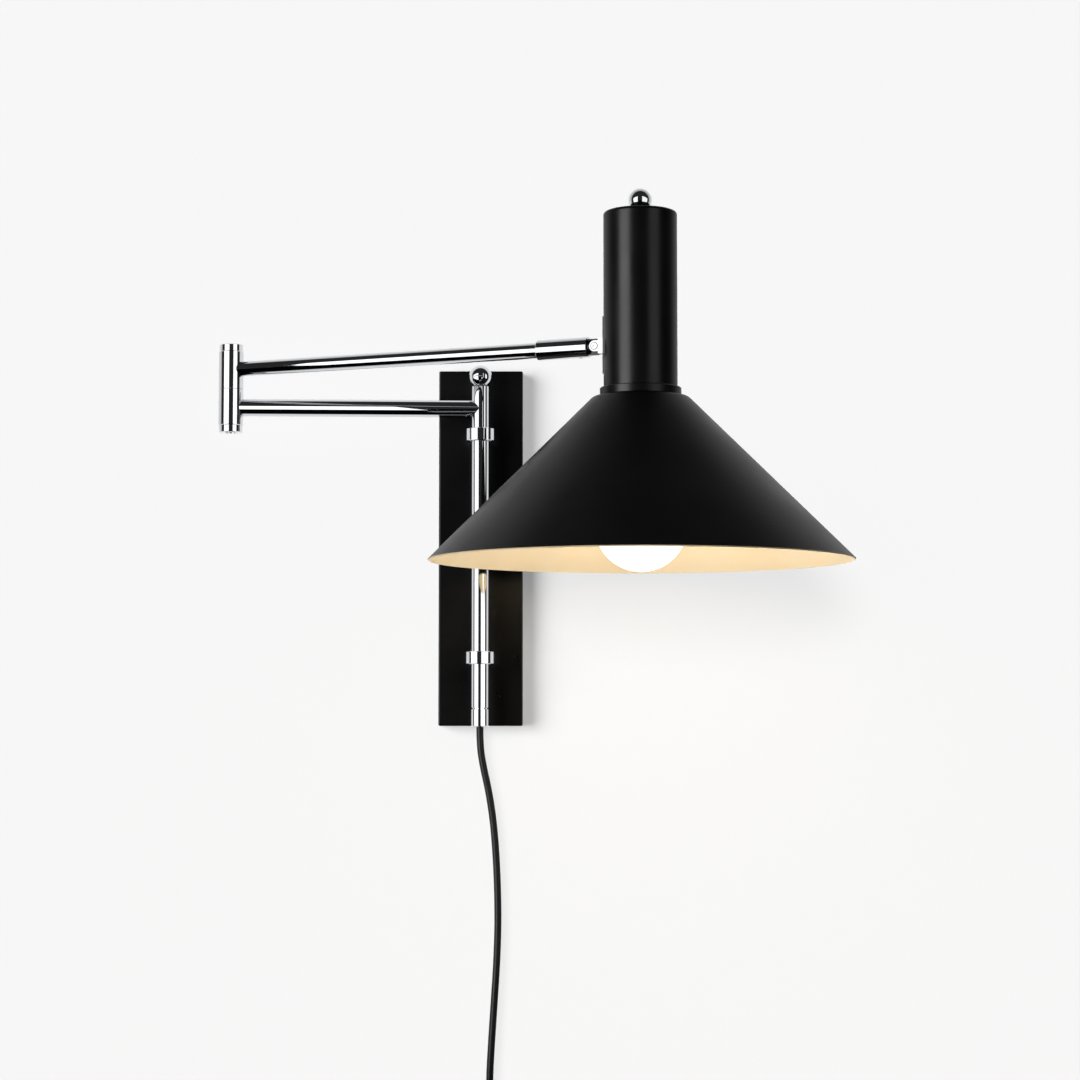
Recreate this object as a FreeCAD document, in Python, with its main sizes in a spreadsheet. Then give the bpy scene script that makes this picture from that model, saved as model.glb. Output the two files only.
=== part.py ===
import FreeCAD, Part
import math
import os
import re
import Sketcher

# Swing arm wall sconce. +Z is up, the wall is the plane Y = 0 and the lamp stands out along -Y.
# The origin is the middle of the mounting plate's back, on the wall.

SIZES = {
    # mounting plate: a pan cover over a folded bracket
    "plate_width": 60.0,
    "plate_height": 254.0,
    "plate_depth": 14.0,
    "plate_wall": 1.5,
    "plate_round": 1.2,
    "bracket_width": 40.0,
    "bracket_thick": 2.0,
    "bracket_gap": 0.3,
    "tab_depth": 10.0,
    "wall_hole_spacing": 100.0,
    "wall_hole_radius": 2.25,
    "cover_screw_radius": 1.5,
    "cover_screw_head": 2.8,
    "cover_screw_length": 8.0,
    "cover_screw_offset": 6.5,
    # post and the two collars that carry it
    "post_radius": 6.35,
    "post_wall": 1.2,
    "post_offset": 30.0,
    "post_bottom": -114.2,
    "post_top": 113.4,
    "collar_rise": 79.0,
    "collar_radius": 10.25,
    "collar_length": 9.0,
    "collar_edge": 0.4,
    "liner_thick": 1.0,
    "running_gap": 0.05,
    "boss_radius": 5.0,
    "stud_radius": 3.0,
    "stud_tail": 6.5,
    "washer_thick": 0.8,
    "nut_flats": 10.0,
    "nut_thick": 3.5,
    "grub_radius": 1.5,
    "groove_depth": 0.6,
    "groove_length": 3.6,
    "tip_gap": 0.3,
    "key_floor": 1.0,
    "key_depth": 1.0,
    "ball_radius": 8.2,
    "ball_rise": 7.2,
    "ball_stud_radius": 2.0,
    "plug_length": 9.0,
    "ferrule_radius": 6.5,
    "ferrule_length": 12.4,
    "ferrule_edge": 0.8,
    "ferrule_bore": 4.0,
    "ferrule_groove": 1.0,
    "gland_length": 24.0,
    # lower arm and elbow
    "lower_arm_length": 176.5,
    "lower_arm_lean": 2.6,
    "lower_arm_rise": 97.6,
    "lower_arm_radius": 6.2,
    "arm_wall": 1.1,
    "lead_radius": 1.9,
    "wiring_gap": 1.2,
    "elbow_radius": 8.8,
    "elbow_bottom": 84.7,
    "elbow_split": 110.3,
    "elbow_top": 137.2,
    "split_gap": 0.3,
    "elbow_cap_radius": 8.25,
    "elbow_cap_length": 5.0,
    "shaft_radius": 4.0,
    "shaft_bore": 2.6,
    "bush_thick": 1.0,
    "thrust_sink": 0.5,
    "shoulder_radius": 7.2,
    "nut_well": 6.0,
    "lock_nut_flats": 12.0,
    "shaft_tapping": 7.0,
    "shaft_setback": 1.6,
    "cap_sink": 1.8,
    "cap_screw_gap": 0.3,
    "cap_screw_reach": 5.0,
    # upper arm, swivel sleeve, knuckle and tilt fork
    "upper_arm_length": 309.2,
    "upper_arm_lean": 22.84,
    "upper_arm_rise": 124.6,
    "upper_arm_radius": 5.3,
    "upper_arm_end": 253.3,
    "spigot_radius": 3.0,
    "spigot_bore": 2.2,
    "spigot_press": 12.0,
    "sleeve_start": 236.2,
    "sleeve_length": 36.8,
    "sleeve_radius": 6.95,
    "sleeve_well": 5.0,
    "sleeve_web": 3.0,
    "sleeve_edge": 0.4,
    "screw_setback": 5.7,
    "knuckle_shank": 10.3,
    "knuckle_lip": 1.4,
    "knuckle_radius": 5.3,
    "knuckle_thick": 4.0,
    "pin_place": 278.3,
    "pin_radius": 1.5,
    "pin_head_sink": 0.8,
    "pin_nut_sink": 1.4,
    "pin_nut_thick": 2.2,
    "ear_radius": 3.6,
    "ear_thick": 3.0,
    "ear_step": 2.7,
    "ear_root": 5.0,
    "ear_gap": 0.2,
    "fork_stud_radius": 2.0,
    # head
    "neck_radius": 24.4,
    "neck_wall": 1.2,
    "neck_top": 212.8,
    "neck_round": 2.2,
    "strap_thick": 0.8,
    "strap_width": 15.0,
    "strap_height": 38.0,
    "strap_screw_spacing": 29.0,
    "strap_screw_radius": 1.2,
    "strap_screw_head": 1.8,
    "strap_screw_dome": 0.9,
    "strap_screw_shank": 6.0,
    "stud_nut_thick": 2.4,
    "gallery_radius": 26.9,
    "gallery_height": 5.7,
    "gallery_edge": 0.5,
    "gallery_sleeve": 7.3,
    "shade_top": 89.8,
    "shade_height": 107.8,
    "shade_radius": 140.0,
    "shade_shoulder": 31.2,
    "shade_wall": 1.0,
    "shade_hem": 1.6,
    "shade_round": 6.0,
    "socket_radius": 19.0,
    "socket_bore": 14.6,
    "socket_bottom": 60.0,
    "socket_flange": 21.4,
    "flange_thick": 2.4,
    "socket_depth": 28.0,
    "socket_crown": 12.0,
    "crown_step": 3.0,
    "shell_gap": 0.3,
    "shell_thick": 0.5,
    "shell_length": 24.0,
    "shell_rise": 2.0,
    "contact_radius": 4.0,
    "lock_ring_radius": 25.0,
    "lock_ring_thick": 3.2,
    "lock_ring_edge": 0.6,
    "bulb_radius": 30.5,
    "bulb_centre": 4.6,
    "bulb_neck": 13.0,
    "bulb_glass": 0.8,
    "bulb_base_radius": 13.1,
    "bulb_base_length": 21.0,
    "bulb_base_skirt": 2.0,
    "bulb_base_taper": 5.0,
    "bulb_thread_depth": 0.7,
    "bulb_eyelet_radius": 7.2,
    "bulb_tip_radius": 4.5,
    "bulb_tip_end": 2.5,
    "bulb_tip_length": 4.0,
    "bulb_neck_top": 59.0,
    "knob_radius": 7.9,
    "knob_rise": 7.9,
    "knob_gap": 0.3,
    "spindle_radius": 2.0,
    "spindle_gap": 1.0,
    "switch_radius": 9.0,
    "switch_length": 20.0,
    # mains lead
    "cord_radius": 2.5,
    "cord_length": 1800.0,
    "coil_outer": 36.0,
    "coil_inner": 20.5,
    "coil_thick": 15.5,
    "coil_drop": 440.0,
    "tie_gap": 0.2,
    "tie_width": 9.0,
    "tie_thick": 1.2,
    "plug_width": 23.0,
    "plug_depth": 16.0,
    "plug_body_length": 27.0,
    "plug_tail_length": 22.0,
    "plug_neck": 0.8,
    "blade_length": 17.5,
    "blade_width": 6.35,
    "blade_thick": 1.5,
    "blade_spacing": 12.7,
}

# The hanging part of the mains lead, from the ferrule's mouth down to the top of the coil: (x, y, z)
# measured from the post's axis and the plate's middle.
CORD_ROUTE = [
    (0.0, 0.0, -127.6),
    (0.0, 0.0, -141.0),
    (2.5, 0.4, -156.0),
    (6.4, 0.9, -173.0),
    (9.6, 1.4, -194.0),
    (11.5, 1.5, -217.0),
    (12.7, 1.1, -243.0),
    (12.9, 0.6, -270.0),
    (11.8, 0.1, -297.0),
    (10.0, -0.2, -324.0),
    (8.3, -0.3, -350.0),
    (7.0, -0.2, -374.0),
    (8.0, 0.0, -392.0),
    (11.5, 0.2, -408.0),
]

UP = (0.0, 0.0, 1.0)
BACK = (0.0, 1.0, 0.0)

doc = FreeCAD.newDocument("swing_arm_sconce")
sheet = doc.addObject("Spreadsheet::Sheet", "Sizes")
nodes = []


def fill_sheet():
    """Every driving size goes in a cell of its own, under its own name."""
    for row, (alias, value) in enumerate(SIZES.items(), start=1):
        sheet.set(f"A{row}", alias)
        sheet.set(f"B{row}", str(value))
        sheet.setAlias(f"B{row}", alias)
    doc.recompute()


def size(alias):
    """A cell's value."""
    return float(sheet.get(alias))


def bound(words):
    """An expression on the sheet, written with the cells' bare names."""
    return re.sub(r"\b([a-z]+(?:_[a-z]+)+)\b", r"Sizes.\1", str(words))


def bind(piece, **expressions):
    """Bind a piece's sizes to the sheet."""
    for name, words in expressions.items():
        piece.setExpression(name, bound(words))


def placed(at, along=UP):
    """The placement that stands a piece's own Z along a direction."""
    lean = FreeCAD.Rotation(FreeCAD.Vector(0, 0, 1), FreeCAD.Vector(*along))
    return FreeCAD.Placement(FreeCAD.Vector(*at), lean)


def node(piece, name):
    """Name a finished sub-part and keep it for export."""
    piece.Label = name
    nodes.append(piece)
    return piece


def rod(name, radius, length, at, along=UP):
    """A plain cylinder."""
    solid = doc.addObject("Part::Cylinder", name)
    bind(solid, Radius=radius, Height=length)
    solid.Placement = placed(at, along)
    return solid


def block(name, length, width, height, at, along=UP):
    """A plain box, centred on its own X and Y and standing on its base."""
    solid = doc.addObject("Part::Box", name)
    bind(solid, Length=length, Width=width, Height=height)
    doc.recompute()
    offset = FreeCAD.Vector(-solid.Length.Value / 2, -solid.Width.Value / 2, 0)
    solid.Placement = placed(at, along).multiply(FreeCAD.Placement(offset, FreeCAD.Rotation()))
    return solid


def ball(name, radius, at, lowest=-90.0):
    """A sphere, cut flat at a latitude where it sits on something."""
    solid = doc.addObject("Part::Sphere", name)
    bind(solid, Radius=radius, Angle1=lowest)
    solid.Placement = placed(at)
    return solid


def hexagon(name, flats, length, at, along=UP):
    """A hexagonal bar."""
    solid = doc.addObject("Part::Prism", name)
    solid.Polygon = 6
    bind(solid, Circumradius=f"({flats}) / sqrt(3)", Height=length)
    solid.Placement = placed(at, along)
    return solid


def cut(name, base, *tools):
    """Take tools away from a base, one after another."""
    for number, tool in enumerate(tools, start=1):
        step = doc.addObject("Part::Cut", f"{name}_cut{number}")
        step.Base = base
        step.Tool = tool
        base = step
    return base


def fused(name, *pieces):
    """Join pieces that are made as one."""
    joined = doc.addObject("Part::MultiFuse", name)
    joined.Shapes = list(pieces)
    joined.Refine = True
    return joined


def common(name, first, second):
    """What two solids share."""
    shared = doc.addObject("Part::MultiCommon", name)
    shared.Shapes = [first, second]
    return shared


def group(name, *pieces):
    """Identical loose pieces kept together as one node."""
    held = doc.addObject("Part::Compound", name)
    held.Links = list(pieces)
    return held


def rounded(name, base, radius, wanted):
    """Round the edges of a base that a test picks out."""
    doc.recompute()
    fillet = doc.addObject("Part::Fillet", name)
    fillet.Base = base
    edges = base.Shape.Edges
    fillet.Edges = [(i + 1, radius, radius) for i, edge in enumerate(edges) if wanted(edge)]
    return fillet


def plane_of(body, role):
    """One of a body's own origin planes."""
    return next(plane for plane in body.Origin.OriginFeatures if plane.Role == role)


def turned(name, outline, at, along=UP):
    """A lathe-turned piece: a closed outline of (radius, height) revolved about the piece's own Z."""
    body = doc.addObject("PartDesign::Body", name)
    sketch = body.newObject("Sketcher::SketchObject", f"{name}_outline")
    sketch.AttachmentSupport = (plane_of(body, "XZ_Plane"), [""])
    sketch.MapMode = "FlatFace"
    count = len(outline)
    turns = [2 * math.pi * i / count for i in range(count)]
    starts = [FreeCAD.Vector(20 + 10 * math.cos(angle), 20 + 10 * math.sin(angle), 0) for angle in turns]
    for i in range(count):
        sketch.addGeometry(Part.LineSegment(starts[i], starts[(i + 1) % count]), False)
    for i in range(count):
        sketch.addConstraint(Sketcher.Constraint("Coincident", i, 2, (i + 1) % count, 1))
    for i, (radius, height) in enumerate(outline):
        for kind, start, words in (("DistanceX", starts[i].x, radius), ("DistanceY", starts[i].y, height)):
            index = sketch.addConstraint(Sketcher.Constraint(kind, -1, 1, i, 1, start))
            sketch.setExpression(f"Constraints[{index}]", bound(words))
    spin = body.newObject("PartDesign::Revolution", f"{name}_spin")
    spin.Profile = sketch
    spin.ReferenceAxis = (sketch, ["V_Axis"])
    spin.Angle = 360.0
    body.Placement = placed(at, along)
    return body


def ring(name, inner, outer, length, at, along=UP):
    """A plain turned ring."""
    outline = [(inner, "0"), (outer, "0"), (outer, length), (inner, length)]
    return turned(name, outline, at, along)


def post_axis(z):
    """A point on the post's axis."""
    return (0.0, -size("post_offset"), z)


def lower_direction():
    """From the post towards the elbow: left, and a little out from the wall."""
    lean = math.radians(size("lower_arm_lean"))
    return (-math.cos(lean), -math.sin(lean), 0.0)


def upper_direction():
    """From the elbow towards the head: right, and out from the wall."""
    lean = math.radians(size("upper_arm_lean"))
    return (math.cos(lean), -math.sin(lean), 0.0)


def elbow_axis(z):
    """A point on the elbow's axis."""
    x, y, _ = lower_direction()
    reach = size("lower_arm_length")
    return (x * reach, y * reach - size("post_offset"), z)


def on_arm(along, side=0.0, rise=0.0):
    """A point of the upper arm: along it from the elbow, to its viewer's side, and above it."""
    ux, uy, _ = upper_direction()
    ex, ey, _ = elbow_axis(0)
    z = size("upper_arm_rise") + rise
    return (ex + ux * along + uy * side, ey + uy * along - ux * side, z)


def head_axis(z):
    """A point on the head's axis."""
    x, y, _ = on_arm(size("upper_arm_length"))
    return (x, y, z)


def arm_side():
    """Across the upper arm, towards the viewer's side."""
    ux, uy, _ = upper_direction()
    return (uy, -ux, 0.0)


# ---- wall mount ----


def wall_bracket():
    """Folded steel strip with a threaded tab at each end and two wall-screw holes in a line."""
    inner = size("plate_height") - 2 * size("plate_wall") - 2 * size("bracket_gap")
    thick = size("bracket_thick")
    length = "plate_height - 2 * plate_wall - 2 * bracket_gap"
    back = block("bracket_back", "bracket_width", "bracket_thick", length, (0, -thick / 2, -inner / 2))
    pieces = [back]
    holes = []
    for side in (-1, 1):
        base = inner / 2 - thick if side > 0 else -inner / 2
        middle = -size("tab_depth") / 2
        pieces.append(
            block(f"bracket_tab{side + 2}", "bracket_width", "tab_depth", "bracket_thick", (0, middle, base))
        )
        spot = (0, -size("cover_screw_offset"), side * size("plate_height") / 2)
        inward = (0, 0, -side)
        holes.append(rod(f"tab_hole{side + 2}", "cover_screw_radius", "cover_screw_length", spot, inward))
        wall_hole = (0, -2 * thick, side * size("wall_hole_spacing") / 2)
        holes.append(rod(f"wall_hole{side + 2}", "wall_hole_radius", "4 * bracket_thick", wall_hole, BACK))
    node(cut("wall_bracket", fused("bracket_folded", *pieces), *holes), "wall_bracket")


def cover_screw(number, side):
    """Countersunk screw through an end wall of the cover into the bracket's tab."""
    outline = [
        ("0", "0"),
        ("cover_screw_head", "0"),
        ("cover_screw_radius", "cover_screw_head - cover_screw_radius"),
        ("cover_screw_radius", "cover_screw_length"),
        ("0", "cover_screw_length"),
    ]
    spot = (0, -size("cover_screw_offset"), side * size("plate_height") / 2)
    return turned(f"cover_screw{number}", outline, spot, (0, 0, -side))


def plate_cover():
    """Pan cover, open at the wall, with rounded front edges and a hole for each stud and screw."""
    depth = size("plate_depth")
    high = size("plate_height")
    outside = block("cover_outside", "plate_width", "plate_depth", "plate_height", (0, -depth / 2, -high / 2))
    soft = size("plate_round")
    front = rounded("cover_rounded", outside, soft, lambda e: e.BoundBox.YMin < -depth / 2 - 0.1)
    wall = size("plate_wall")
    inside = block(
        "cover_inside",
        "plate_width - 2 * plate_wall",
        "plate_depth",
        "plate_height - 2 * plate_wall",
        (0, -depth / 2 + wall, -high / 2 + wall),
    )
    tools = [inside]
    for side in (-1, 1):
        stud = (0, -depth - 1, side * size("collar_rise"))
        tools.append(rod(f"stud_hole{side + 2}", "stud_radius", "2 * plate_wall + 1", stud, BACK))
    screws = [cover_screw(side + 2, side) for side in (-1, 1)]
    for screw in screws:
        tools.append(screw)
    node(cut("plate_cover", front, *tools), "plate_cover")
    node(group("cover_screws", *screws), "cover_screws")


def collars():
    """Two rings with a boss and stud, their liners, washers, nuts and grub screws."""
    depth = size("plate_depth")
    length = size("collar_length")
    floor = size("post_radius") + size("running_gap") + size("liner_thick") + size("key_floor")
    slant = (math.sqrt(0.5), math.sqrt(0.5), 0.0)
    reach = size("post_radius") - size("groove_depth") + size("tip_gap")
    washers, nuts, grubs = [], [], []
    for name, side in (("lower", -1), ("upper", 1)):
        rise = side * size("collar_rise")
        base = post_axis(rise - length / 2)
        edge = "collar_edge"
        outline = [
            ("stud_radius", "0"),
            (f"collar_radius - {edge}", "0"),
            ("collar_radius", edge),
            ("collar_radius", f"collar_length - {edge}"),
            (f"collar_radius - {edge}", "collar_length"),
            ("stud_radius", "collar_length"),
        ]
        hoop = turned(f"{name}_hoop", outline, base)
        root = (0, -size("post_offset") + size("post_radius"), rise)
        standing = "post_offset - post_radius - plate_depth"
        boss = rod(f"{name}_boss", "boss_radius", standing, root, BACK)
        stud = rod(f"{name}_stud", "stud_radius", f"{standing} + stud_tail", root, BACK)
        running = "post_radius + running_gap"
        bore = rod(f"{name}_bore", f"{running} + liner_thick", "2 * collar_length", post_axis(rise - length))
        start = (slant[0] * reach, slant[1] * reach - size("post_offset"), rise)
        tap = rod(f"{name}_tap", "grub_radius", "collar_radius", start, slant)
        collar = cut(f"{name}_collar", fused(f"{name}_forged", hoop, boss, stud), bore, tap)
        node(collar, f"{name}_collar")
        sleeve = ring(f"{name}_sleeve", running, f"{running} + liner_thick", "collar_length", base)
        node(cut(f"{name}_collar_liner", sleeve, tap), f"{name}_collar_liner")
        inside = -depth + size("plate_wall")
        washers.append(ring(f"{name}_washer", "stud_radius", "2 * stud_radius", "washer_thick",
                            (0, inside, rise), BACK))
        seat = inside + size("washer_thick")
        blank = hexagon(f"{name}_nut_blank", "nut_flats", "nut_thick", (0, seat, rise), BACK)
        hole = rod(f"{name}_nut_hole", "stud_radius", "nut_thick", (0, seat, rise), BACK)
        nuts.append(cut(f"{name}_nut", blank, hole))
        grub = rod(f"{name}_grub", "grub_radius", "collar_radius - post_radius - liner_thick + groove_depth",
                   start, slant)
        key_at = (slant[0] * floor, slant[1] * floor - size("post_offset"), rise)
        key = hexagon(f"{name}_key", "grub_radius", "collar_radius", key_at, slant)
        grubs.append(cut(f"{name}_grub_screw", grub, key))
    node(group("collar_washers", *washers), "collar_washers")
    node(group("collar_nuts", *nuts), "collar_nuts")
    node(group("collar_set_screws", *grubs), "collar_set_screws")


# ---- post and lower arm ----


def arm_hole(name, radius, axis_point, direction):
    """A drill across a wall, from an axis outwards along an arm."""
    return rod(name, radius, "2 * elbow_radius", axis_point, direction)


def post():
    """Post tube with two running grooves and a wiring hole, its top plug and ball, ferrule and gland."""
    bottom = size("post_bottom")
    inner = "post_radius - post_wall"
    groove = "post_radius - groove_depth"
    outline = [(inner, "0"), ("post_radius", "0")]
    for side in ("-", "+"):
        middle = f"(0 - post_bottom {side} collar_rise)"
        outline += [
            ("post_radius", f"{middle} - groove_length / 2"),
            (groove, f"{middle} - groove_length / 2"),
            (groove, f"{middle} + groove_length / 2"),
            ("post_radius", f"{middle} + groove_length / 2"),
        ]
    outline += [("post_radius", "post_top - post_bottom"), (inner, "post_top - post_bottom")]
    tube = turned("post_blank", outline, post_axis(bottom))
    wiring_at = post_axis(size("lower_arm_rise"))
    wiring = arm_hole("post_wiring", "lead_radius + wiring_gap", wiring_at, lower_direction())
    node(cut("post_tube", tube, wiring), "post_tube")

    top = size("post_top")
    plug_at = post_axis(top - size("plug_length"))
    plug = ring("post_top_plug", "ball_stud_radius", inner, "plug_length", plug_at)
    node(plug, "post_top_plug")
    lowest = "-asin(ball_rise / ball_radius)"
    sphere = ball("post_ball_head", "ball_radius", post_axis(top + size("ball_rise")), lowest)
    stud = rod("post_ball_stud", "ball_stud_radius", "plug_length + ball_rise / 2",
               post_axis(top - size("plug_length")))
    node(fused("post_ball", sphere, stud), "post_ball")

    waist = "ferrule_radius - ferrule_groove"
    outline = [
        ("ferrule_bore", "0"),
        ("ferrule_radius - ferrule_edge", "0"),
        ("ferrule_radius", "ferrule_edge"),
        ("ferrule_radius", "ferrule_length"),
        (waist, "ferrule_length"),
        (waist, "ferrule_length + ferrule_groove"),
        (inner, "ferrule_length + ferrule_groove"),
        (inner, "ferrule_length + plug_length"),
        ("ferrule_bore", "ferrule_length + plug_length"),
    ]
    foot = bottom - size("ferrule_length") - size("ferrule_groove")
    node(turned("post_ferrule", outline, post_axis(foot)), "post_ferrule")
    outline = [
        ("lead_radius", "0"),
        ("ferrule_bore", "0"),
        ("ferrule_bore", "gland_length / 2"),
        ("lead_radius + 1", "gland_length"),
        ("lead_radius", "gland_length"),
    ]
    node(turned("cord_gland", outline, post_axis(foot)), "cord_gland")


def coped_tube(name, radius, wall, length, start, direction, *copes):
    """An arm's tube, with its ends coped to the barrels that it is brazed to."""
    tube = ring(f"{name}_stock", f"{radius} - {wall}", radius, length, start, direction)
    node(cut(name, tube, *copes), name)


def lower_arm():
    """The lower arm's tube between the post and the elbow."""
    rise = size("lower_arm_rise")
    at_post = rod("lower_cope_post", "post_radius", "4 * lower_arm_radius",
                  post_axis(rise - 2 * size("lower_arm_radius")))
    at_elbow = rod("lower_cope_elbow", "elbow_radius", "4 * lower_arm_radius",
                   elbow_axis(rise - 2 * size("lower_arm_radius")))
    coped_tube("lower_arm_tube", "lower_arm_radius", "arm_wall", "lower_arm_length", post_axis(rise),
               lower_direction(), at_post, at_elbow)


def lower_elbow():
    """The elbow's fixed half: barrel, hollow pivot shaft, lock nut, bottom cap and its screw."""
    bottom = size("elbow_bottom")
    edge = "collar_edge"
    height = "elbow_split - split_gap / 2 - elbow_bottom"
    x, y, _ = lower_direction()
    back = (-x, -y, 0.0)
    outline = [
        ("shaft_radius", "0"),
        (f"elbow_radius - {edge}", "0"),
        ("elbow_radius", edge),
        ("elbow_radius", height),
        ("shoulder_radius", height),
        ("shoulder_radius", f"{height} - thrust_sink"),
        ("shaft_radius", f"{height} - thrust_sink"),
    ]
    barrel = turned("lower_barrel_blank", outline, elbow_axis(bottom))
    wiring = arm_hole("lower_barrel_wiring", "lead_radius + 1", elbow_axis(size("lower_arm_rise")), back)
    node(cut("lower_elbow_barrel", barrel, wiring), "lower_elbow_barrel")

    full = "elbow_top - elbow_bottom - shaft_setback"
    outline = [
        ("ball_stud_radius", "0"),
        ("shaft_radius", "0"),
        ("shaft_radius", full),
        ("shaft_bore", full),
        ("shaft_bore", "shaft_tapping"),
        ("ball_stud_radius", "shaft_tapping"),
    ]
    shaft = turned("shaft_blank", outline, elbow_axis(bottom))
    low = arm_hole("shaft_low_window", "lead_radius + 1", elbow_axis(size("lower_arm_rise")), back)
    lead = size("lead_radius")
    ex, ey, ez = elbow_axis(size("upper_arm_rise") - lead - 1)
    window = block("shaft_high_window", "2.5 * shaft_radius", "shaft_radius + lead_radius + 1",
                   "2 * (lead_radius + 1)", (ex, ey + lead - (size("shaft_radius") + lead + 1) / 2, ez))
    node(cut("elbow_pivot_shaft", shaft, low, window), "elbow_pivot_shaft")

    seat = size("elbow_top") - size("nut_well") + size("washer_thick")
    blank = hexagon("lock_nut_blank", "lock_nut_flats", "nut_thick", elbow_axis(seat))
    hole = rod("lock_nut_hole", "shaft_radius", "nut_thick", elbow_axis(seat))
    node(cut("elbow_lock_nut", blank, hole), "elbow_lock_nut")

    base = bottom - size("elbow_cap_length")
    outline = [
        ("shaft_radius", "0"),
        (f"elbow_cap_radius - {edge}", "0"),
        ("elbow_cap_radius", edge),
        ("elbow_cap_radius", "elbow_cap_length"),
        ("ball_stud_radius", "elbow_cap_length"),
        ("ball_stud_radius", "cap_sink"),
        ("shaft_radius", "cap_sink"),
    ]
    node(turned("lower_elbow_cap", outline, elbow_axis(base)), "lower_elbow_cap")
    lift = size("cap_screw_gap")
    outline = [
        ("0", "0"),
        ("shaft_radius - running_gap", "0"),
        ("shaft_radius - running_gap", "cap_sink - cap_screw_gap"),
        ("ball_stud_radius", "cap_sink - cap_screw_gap"),
        ("ball_stud_radius", "elbow_cap_length + cap_screw_reach"),
        ("0", "elbow_cap_length + cap_screw_reach"),
    ]
    screw = turned("cap_screw_blank", outline, elbow_axis(base + lift))
    socket = hexagon("cap_screw_socket", "ball_stud_radius * 1.25", "key_depth", elbow_axis(base + lift))
    node(cut("lower_elbow_cap_screw", screw, socket), "lower_elbow_cap_screw")


def tube_along(name, points, bends, radius):
    """A round tube along straight runs joined by tangent arcs, with the bend radius at each inner point."""
    places = [FreeCAD.Vector(*point) for point in points]
    edges = []
    start = places[0]
    for before, corner, after, bend in zip(places, places[1:], places[2:], bends):
        into = (corner - before).normalize()
        out = (after - corner).normalize()
        half_turn = into.getAngle(out) / 2
        back = bend * math.tan(half_turn)
        first = corner - into * back
        last = corner + out * back
        inward = (out - into).normalize()
        centre = corner + inward * (bend / math.cos(half_turn))
        middle = centre - inward * bend
        edges.append(Part.LineSegment(start, first).toShape())
        edges.append(Part.Arc(first, middle, last).toShape())
        start = last
    edges.append(Part.LineSegment(start, places[-1]).toShape())
    path = Part.Wire(edges)
    heading = (places[1] - places[0]).normalize()
    section = Part.Wire([Part.makeCircle(radius, places[0], heading)])
    solid = path.makePipeShell([section], True, False)
    if solid.Volume < 0:
        solid.reverse()
    feature = doc.addObject("Part::Feature", name)
    feature.Shape = solid
    feature.Label = name
    nodes.append(feature)
    expected = math.pi * radius**2 * path.Length
    print(f"{name}: length {path.Length:.1f}, volume {solid.Volume:.0f} of {expected:.0f}")
    return path.Length


def leads():
    """The cables inside the post and lower arm, and inside the upper arm."""
    foot = size("post_bottom") - size("ferrule_length") - size("ferrule_groove")
    low = size("lower_arm_rise")
    high = size("upper_arm_rise")
    radius = size("lead_radius")
    bend = 2 * radius
    split = size("elbow_split")
    points = [post_axis(foot), post_axis(low), elbow_axis(low), elbow_axis(split - 1)]
    tube_along("post_lead", points, [bend, bend], radius)
    points = [elbow_axis(split), elbow_axis(high), on_arm(size("pin_place") - 8)]
    tube_along("arm_lead", points, [bend], radius)


def cord_radii(points):
    """Each arc's radius: 0.45 of the shorter run over the tangent of half the turn."""
    places = [FreeCAD.Vector(*point) for point in points]
    radii = []
    for before, corner, after in zip(places, places[1:], places[2:]):
        half_turn = (corner - before).getAngle(after - corner) / 2
        shorter = min((corner - before).Length, (after - corner).Length)
        radii.append(0.45 * shorter / math.tan(half_turn))
    print("cord radii", [round(radius) for radius in radii])
    return radii


def coil_centre():
    """The middle of the put-away coil, which hangs on edge below the post."""
    return (0.0, -size("post_offset"), -size("coil_drop"))


def power_cord():
    """Mains lead: its hanging length, the tied coil of the rest, and the tie round it."""
    depth = -size("post_offset")
    points = [(x, y + depth, z) for x, y, z in CORD_ROUTE]
    hanging = tube_along("power_cord", points, cord_radii(points), size("cord_radius"))
    print(f"mains lead: {hanging:.0f} hangs, {size('cord_length') - hanging:.0f} is put away")

    x, y, z = coil_centre()
    half = size("coil_thick") / 2
    node(ring("cord_coil", "coil_inner", "coil_outer", "coil_thick", (x, y - half, z), BACK), "cord_coil")

    middle = -(size("coil_inner") + size("coil_outer")) / 2
    base = z - size("tie_width") / 2
    wide = "coil_outer - coil_inner + 6 * tie_gap"
    deep = "coil_thick + 2 * tie_gap"
    outside = block("tie_outside", f"{wide} + 2 * tie_thick", f"{deep} + 2 * tie_thick", "tie_width",
                    (middle, y, base))
    inside = block("tie_inside", wide, deep, "tie_width", (middle, y, base))
    node(cut("cord_tie", outside, inside), "cord_tie")


def plug():
    """Two-pin plug with a tapered strain relief, hanging straight down where the lead leaves the coil."""
    _, y, z = coil_centre()
    x = (size("coil_inner") + size("coil_outer")) / 2
    neck = size("cord_radius") + size("plug_neck")
    drop = math.sqrt(size("coil_outer") ** 2 - (x - neck) ** 2)
    top = z - drop - size("tie_gap")
    down = (0.0, 0.0, -1.0)
    outline = [
        ("0", "0"),
        ("cord_radius + plug_neck", "0"),
        ("cord_radius * 2.4", "plug_tail_length"),
        ("0", "plug_tail_length"),
    ]
    tail = turned("plug_tail", outline, (x, y, top), down)
    base = top - size("plug_tail_length") - size("plug_body_length")
    grip = block("plug_grip_blank", "plug_width", "plug_depth", "plug_body_length", (x, y, base))
    grip_round = size("plug_depth") / 4
    soft = rounded("plug_grip", grip, grip_round, lambda e: e.BoundBox.ZLength > 1)
    shell = fused("plug_moulding", tail, soft)
    blades = []
    for side in (-1, 1):
        spot = (x + side * size("blade_spacing") / 2, y, base - size("blade_length"))
        long = "blade_length + plug_body_length / 2"
        blades.append(block(f"plug_blade{side + 2}", "blade_thick", "blade_width", long, spot))
    node(cut("plug_body", shell, *blades), "plug_body")
    node(group("plug_blades", *blades), "plug_blades")


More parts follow.
